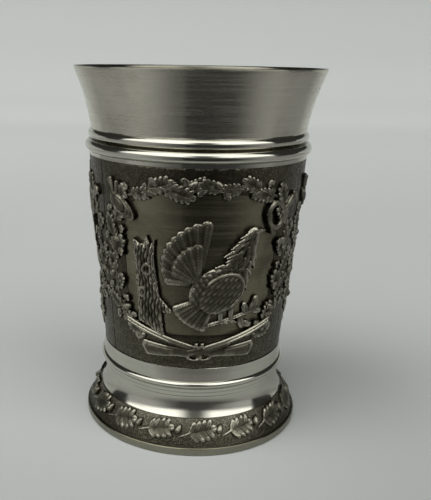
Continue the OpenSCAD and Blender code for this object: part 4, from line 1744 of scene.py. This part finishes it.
    def _trunk(self, name: str) -> Object:
        """Old tree trunk with a broken top, bark, a branch stub and roots.

        Args:
            name: The object's name.

        Returns:
            The object.
        """
        _, middle, window_h = self.window
        x0, z0 = self.wall.u(self.trunk_a), middle - window_h + 2.9
        cast = ReliefField((x0 - 4.0, x0 + 6.0), (z0 - 4.0, z0 + 18.0), 0.13)
        corners = (
            (-1.9, -0.9), (-0.7, -1.2), (0.6, -1.9), (1.9, -2.7), (3.4, -3.3), (3.0, -0.6), (2.9, 1.6),
            (4.3, 1.2), (4.9, 2.0), (2.6, 4.4), (2.0, 8.0), (1.6, 12.0), (1.8, 15.2), (0.9, 14.2),
            (0.2, 15.9), (-0.4, 14.4), (-1.0, 14.2), (-1.7, 14.6), (-2.5, 15.1), (-2.3, 11.0),
            (-2.0, 6.6), (-1.9, 2.6),
        )
        x, y = cast.local((x0, z0))
        waver = x + 0.16 * np.sin(0.7 * y + 0.6) + 0.07 * np.sin(2.1 * y + 1.7)
        lane = np.floor(waver / 0.62)
        ridges = 0.3 * np.abs(np.sin(math.pi * waver / 0.62)) ** 0.7
        breaks = 0.16 * np.sin(2.4 * y + 2.3 * lane) * np.sin(0.9 * y + 1.1 * lane)
        cast.add(cast.outline([(x0 + a, z0 + b) for a, b in corners]), 0.45, 0.42, 1.5, ridges + breaks)
        for at, size in (((0.3, 9.6), 0.75), ((-0.7, 5.1), 0.6)):
            ring = np.abs(cast.oval((x0 + at[0], z0 + at[1]), size, 1.35 * size))
            cast.add(0.22 - ring, 1.0, 0.25, 0.2)
        return cast.shell(name, self.wall.lay, self.finishes.relief)

    def _bird(self, name: str) -> Object:
        """Displaying game bird with a fanned tail, standing on a branch.

        Args:
            name: The object's name.

        Returns:
            The object.
        """
        x0, z0 = self.wall.u(self.bird_a), self.window[1] - 2.85
        cast = ReliefField((x0 - 13.5, x0 + 13.0), (z0 - 11.0, z0 + 14.0), 0.13)

        def at(x: float, y: float) -> Point:
            """A point of the drawing, about the bird's rump."""
            return x0 + x, z0 + y

        rump, shoulder, head = at(-1.2, 0.1), at(2.5, -1.5), at(8.1, 9.2)
        fans = (
            (rump, 12, (84.0, 92.0), (11.6, -5.3), 2.3, (0.2, 0.07), 0.42),
            (rump, 7, (93.0, 62.0), (7.4, -2.1), 2.0, (0.58, 0.06), 0.34),
            (shoulder, 8, (205.0, 44.0), (9.2, -0.8), 1.55, (0.3, 0.06), 0.46),
        )
        for root, count, (start, sweep), (length, longer), width, (base, lift), crown in fans:
            for k in range(count):
                share = k / (count - 1)
                degrees, reach = start + sweep * share, length + longer * share
                cast.feather(root, degrees, reach, width, base + lift * (k % 2), crown, 0.03)
        self._plumage(cast, at, head)
        wing = at(2.9, -1.9)
        along, across = cast.local(wing, 222.0)
        lane = np.floor(across / 0.66)
        quill = 1 - (2 * (across / 0.66 - lane) - 1) ** 2
        steps = ((along + 0.62 * lane) / 1.9) % 1.0
        cast.add(cast.oval(wing, 4.5, 3.2, 42.0), 0.78, 0.36, 1.5, 0.22 * quill * (0.35 + 0.65 * steps))
        rim = 0.26 - np.abs(cast.oval(wing, 4.4, 3.1, 42.0))
        cast.add(np.where(along < 0.6, rim, -1.0), 1.0, 0.3, 0.26)
        self._perch(cast, at)
        return cast.shell(name, self.wall.lay, self.finishes.relief)

    def _plumage(self, cast: ReliefField, at: Callable[[float, float], Point], head: Point) -> None:
        """Body with overlapping small feathers, shaggy neck and head.

        Args:
            cast: The bird's field.
            at: Gives a point of the drawing.
            head: Middle of the head.
        """
        x, y = cast.local(at(2.4, -0.9), 30.0)
        row = np.floor(x / 0.9)
        part_x, part_y = x / 0.9 - row, (y / 1.0 + 0.5 * (row % 2)) % 1.0 - 0.5
        scales = 0.2 * part_x * (1 - (2 * part_y) ** 2)
        cast.add(cast.oval(at(2.4, -0.9), 5.7, 3.9, 30.0), 0.5, 0.5, 2.6, scales)
        neck, rng = at(5.2, 0.9), np.random.default_rng(4)
        for k in range(26):
            share = k / 25
            middle = np.array(neck) * (1 - share) + np.array(head) * share
            spread = (1 - share) * 2.7 + share * 0.8
            for lane in (-1.0, -0.4, 0.2, 0.8):
                root = middle + np.array([0.93, -0.3]) * spread * (lane + 0.2 * rng.standard_normal())
                lean = math.radians(246.0 + 34.0 * lane + 10.0 * rng.standard_normal())
                tip = root + np.array([math.cos(lean), math.sin(lean)]) * (1.3 + 0.5 * rng.random())
                hair = cast.stroke(tuple(root), tuple(tip), 0.34, 0.1)
                cast.add(hair, 0.62 + 0.2 * share + 0.12 * rng.random(), 0.3, 0.3)
        cast.add(cast.stroke(neck, head, 2.5, 0.9), 0.5, 0.28, 1.2)
        cast.add(cast.oval(head, 1.35, 1.1, 20.0), 0.75, 0.42, 0.9)
        beak = (head[0] + 2.3, head[1] + 0.35)
        cast.add(cast.stroke((head[0] + 0.7, head[1] + 0.3), beak, 0.55, 0.14), 0.72, 0.3, 0.4)
        cast.add(0.1 - np.abs(cast.oval((head[0] + 0.35, head[1] + 0.35), 0.36, 0.36)), 1.16, 0.14, 0.1)

    def _perch(self, cast: ReliefField, at: Callable[[float, float], Point]) -> None:
        """Legs, and the branch that the bird stands on.

        Args:
            cast: The bird's field.
            at: Gives a point of the drawing.
        """
        for x in (2.9, 4.9):
            cast.add(cast.stroke(at(x, -3.6), at(x + 0.2, -7.4), 0.75, 0.38), 0.42, 0.35, 0.5)
            for toe in (-0.9, 0.2, 1.1):
                cast.add(cast.stroke(at(x + 0.2, -7.3), at(x + 0.3 + toe, -7.9), 0.22, 0.16), 0.5, 0.25, 0.2)
        ripple = 0.08 * np.sin(2 * math.pi * cast.local(at(0.0, -8.2), 15.0)[1] / 0.4)
        cast.add(cast.stroke(at(0.3, -8.3), at(10.0, -5.7), 0.5, 0.36), 0.36, 0.36, 0.5, ripple)
        cast.add(cast.stroke(at(6.4, -6.7), at(8.0, -8.4), 0.24, 0.16), 0.36, 0.3, 0.3)
        sprigs = (
            (at(7.0, -7.2), -70.0), (at(7.7, -8.2), -20.0), (at(9.0, -6.0), 55.0),
            (at(8.2, -6.4), 105.0), (at(9.7, -5.9), -15.0), (at(9.9, -5.4), 80.0),
        )
        for root, degrees in sprigs:
            vein = -0.12 * np.exp(-((cast.local(root, degrees)[1] / 0.13) ** 2))
            cast.add(cast.oval(step_from(root, 0.9, degrees), 1.5, 0.75, degrees), 0.34, 0.42, 0.6, vein)


# Studio


@dataclass(frozen=True)
class Studio:
    """Pale sweep with painted light and shade, soft light, a card of painted reflections, and the camera.

    A step is where it starts and ends, in metres or in degrees, and the values there.
    The card's apex and the lamp's place, aim and size are in metres too.
    """

    floor_colour: Colour = (0.465, 0.481, 0.468)
    sweep_reach: float = 1600.0
    sweep_half: float = 2200.0
    sweep_back: float = 600.0
    sweep_bend: float = 300.0
    sweep_top: float = 330.0
    sweep_far: Step = (0.12, 0.45, 0.29, 1.0)
    sweep_low: Step = (0.0, 0.022, 1.0, 0.4)
    sweep_high: Step = (0.02, 0.09, 1.0, 0.08)
    painted_light_gains: Point = (0.95, 1.12)
    front: Step = (0.03, -0.07, 0.0, 1.0)
    front_side: Step = (-0.01, 0.05, 0.0, 1.0)
    painted_shade_gains: Point = (0.83, 0.69)
    card_reach: float = 1500.0
    card_back: float = 220.0
    card_gap: Point = (60.0, -44.0)
    card_z: float = 1.0
    card_apex: float = -0.022
    card_left: Step = (-75.0, -22.0, 0.38, 0.085)
    card_right: Step = (30.0, 78.0, 0.015, 0.32)
    card_wedge: Step = (-20.8, -20.0, 0.0, 1.0)
    card_beside: Step = (76.0, 92.0, 0.0, 1.0)
    card_beyond: Step = (0.12, 0.26, 0.0, 1.0)
    card_fade: float = 0.65
    card_near: Step = (-0.085, -0.046, 0.0, 0.28)
    card_behind: Step = (108.0, 135.0, 0.0, 0.42)
    light_colour: Colour = (2.0, 2.0, 1.97)
    light_turn: float = -5.0
    light_side: Step = (85.0, 80.0, 0.0, 1.0)
    light_foot: Step = (13.0, 20.0, 0.0, 1.0)
    gap_turn: float = 2.5
    gap_side: Step = (26.0, 4.0, 0.0, 0.94)
    gap_top: Step = (55.0, 40.0, 0.0, 1.0)
    wall_left: Step = (-55.0, -14.0, 0.46, 0.03)
    wall_right: Step = (14.0, 60.0, 0.0, 0.44)
    wall_top: Step = (22.0, 10.0, 0.0, 1.0)
    room_glow: float = 0.035
    lamp_energy: float = 2.7
    lamp_size: float = 0.5
    lamp_place: tuple[float, float, float] = (-0.45, -0.12, 0.8)
    lamp_aim: tuple[float, float, float] = (0.0, 0.0, 0.03)
    lens_mm: float = 32.75
    sensor_mm: float = 24.0
    place_mm: tuple[float, float, float] = (-10.1, -133.9, 71.5)
    pitch: float = -17.03
    turn: float = -1.47
    roll: float = 0.92
    shift: Point = (0.108, 0.033)

    def build(self) -> None:
        """Sets up the sweep, the light and the camera."""
        self._sweep()
        self._painted_reflection_card()
        self._world()
        self._lamp()
        self._camera()

    def _floor(self, gain: float) -> Colour:
        """The floor's colour, made lighter or darker."""
        return tuple(gain * value for value in self.floor_colour)

    def _sweep(self) -> None:
        """Floor that curves up into a backdrop, with painted light and shade: paler far behind the cup but
        darker where it curves up, and in painted shade in front of it, darkest on the right.
        """
        bend = arc((self.sweep_back, self.sweep_bend), self.sweep_bend, -90, 0, 24)
        profile = [(-self.sweep_reach, 0.0), *bend, (self.sweep_back + self.sweep_bend, self.sweep_top)]
        points = [(x, y, z) for y, z in profile for x in (-self.sweep_half, self.sweep_half)]
        faces = [(2 * k, 2 * k + 1, 2 * k + 3, 2 * k + 2) for k in range(len(profile) - 1)]
        material, graph, shader = new_surface("pale_sweep", {"Roughness": 0.9, "Specular IOR Level": 0.1})
        aside, back, height = graph.split(graph.place())
        # Painted light and shade in the sweep's colour: lighter far behind, darker where it rises and in
        # front, most on the right.
        risen = graph.times(graph.ramp(height, *self.sweep_low), graph.ramp(height, *self.sweep_high))
        far = graph.times(graph.ramp(back, *self.sweep_far), risen)
        pale = graph.blend(far, *map(self._floor, self.painted_light_gains))
        front = graph.blend(graph.ramp(aside, *self.front_side), *map(self._floor, self.painted_shade_gains))
        graph.feed(shader.inputs["Base Color"], graph.blend(graph.ramp(back, *self.front), pale, front))
        make_object("pale_sweep", np.array(points), faces, [material])

    def _world(self) -> None:
        """Soft room: a light overhead with a gap at the camera, and pale low walls on both sides."""
        world = bpy.data.worlds.new("soft_room")
        bpy.context.scene.world = world
        world.use_nodes = True
        graph = Graph(world.node_tree)
        aim = graph.split(graph.place("Generated"))
        azimuth = graph.math("ARCTAN2", aim[0], graph.times(aim[1], -1.0))
        elevation = graph.math("ARCSINE", aim[2])
        aside = graph.math("ABSOLUTE", graph.minus(azimuth, math.radians(self.light_turn)))
        frontal = graph.turn(aside, self.light_side)
        sides = graph.plus(graph.turn(azimuth, self.wall_left), graph.turn(azimuth, self.wall_right))
        low = graph.times(graph.times(sides, graph.turn(elevation, self.wall_top)), frontal)
        walls = graph.grey(graph.plus(low, self.room_glow))
        facing = graph.math("ABSOLUTE", graph.minus(azimuth, math.radians(self.gap_turn)))
        gap = graph.times(graph.turn(facing, self.gap_side), graph.turn(elevation, self.gap_top))
        overhead = graph.times(graph.turn(elevation, self.light_foot), frontal)
        lit = graph.times(overhead, graph.minus(1.0, gap))
        background = world.node_tree.nodes["Background"]
        graph.feed(background.inputs["Color"], graph.blend(lit, walls, self.light_colour))
        background.inputs["Strength"].default_value = 1.0

    def _painted_reflection_card(self) -> None:
        """Painted reflection: a card before and beside the cup that only reflections see, toned as a table
        in painted shade, with a dark wedge in front, lighter near and behind the cup.
        """
        material, graph, shader = new_surface("table_card", {"Roughness": 0.8, "Specular IOR Level": 0.1})
        aside, back, _ = graph.split(graph.place())
        heading = graph.math("ARCTAN2", aside, graph.minus(self.card_apex, back))
        # Painted shade and reflection: a dark wedge in front, lighter to the left and far right, darker far
        # out at the sides.
        wedge = graph.turn(heading, self.card_wedge)
        left = graph.times(graph.turn(heading, self.card_left), graph.minus(1.0, wedge))
        right = graph.times(graph.turn(heading, self.card_right), wedge)
        turned = graph.math("ABSOLUTE", heading)
        beyond = graph.ramp(graph.math("ABSOLUTE", aside), *self.card_beyond)
        faded = graph.times(graph.turn(turned, self.card_beside), beyond)
        kept = graph.math("MULTIPLY_ADD", faded, -self.card_fade, 1.0)
        near = graph.ramp(back, *self.card_near)
        shade_ahead = graph.math("MAXIMUM", graph.times(graph.plus(left, right), kept), near)
        tone = graph.math("MAXIMUM", shade_ahead, graph.turn(turned, self.card_behind))
        graph.feed(shader.inputs["Base Color"], graph.grey(tone))
        reach, far, (gap_x, gap_y) = self.card_reach, self.card_back, self.card_gap
        half = ((reach, -reach), (reach, far), (gap_x, far), (gap_x, gap_y))
        corners = (*half, *((-x, y) for x, y in reversed(half)))
        points = np.array([(x, y, self.card_z) for x, y in corners])
        card = make_object("table_card", points, [tuple(range(len(corners)))], [material])
        card.visible_camera = False
        card.visible_diffuse = False
        card.visible_shadow = False

    def _lamp(self) -> None:
        """One broad soft lamp from the upper left, for the cup's shadow."""
        light = bpy.data.lights.new("soft_lamp", "AREA")
        light.energy = self.lamp_energy
        light.size = self.lamp_size
        lamp = link_object("soft_lamp", light)
        lamp.visible_glossy = False
        lamp.location = Vector(self.lamp_place)
        lamp.rotation_euler = (Vector(self.lamp_aim) - lamp.location).to_track_quat("-Z", "Y").to_euler()

    def _camera(self) -> None:
        """Camera at the photograph's angle."""
        data = bpy.data.cameras.new("camera")
        data.sensor_fit = "VERTICAL"
        data.sensor_height = self.sensor_mm
        data.lens = self.lens_mm
        data.shift_x, data.shift_y = self.shift
        data.clip_start = 0.01
        camera = link_object("camera", data)
        camera.location = Vector(self.place_mm) * MM
        heading = Euler((0.0, 0.0, math.radians(self.turn))).to_matrix()
        tilt = Euler((math.radians(90.0 + self.pitch), 0.0, 0.0)).to_matrix()
        level = Euler((0.0, 0.0, math.radians(self.roll))).to_matrix()
        camera.rotation_euler = (heading @ tilt @ level).to_euler()
        bpy.context.scene.camera = camera


def main() -> None:
    """Builds the cup's pieces in order and sets the studio round it."""
    logging.basicConfig(level=logging.INFO, format="%(name)s %(message)s")
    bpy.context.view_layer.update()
    bpy.context.scene.view_settings.view_transform = "Standard"
    finishes = Finishes()
    trees = FoliageTrees()
    body = TurnedBody(CupFrame.read(), finishes)
    body.build()
    OakBorder(body, finishes, trees).build()
    HuntingPanels(body.wall, finishes, trees).build()
    Studio().build()


if __name__ == "__main__":
    main()
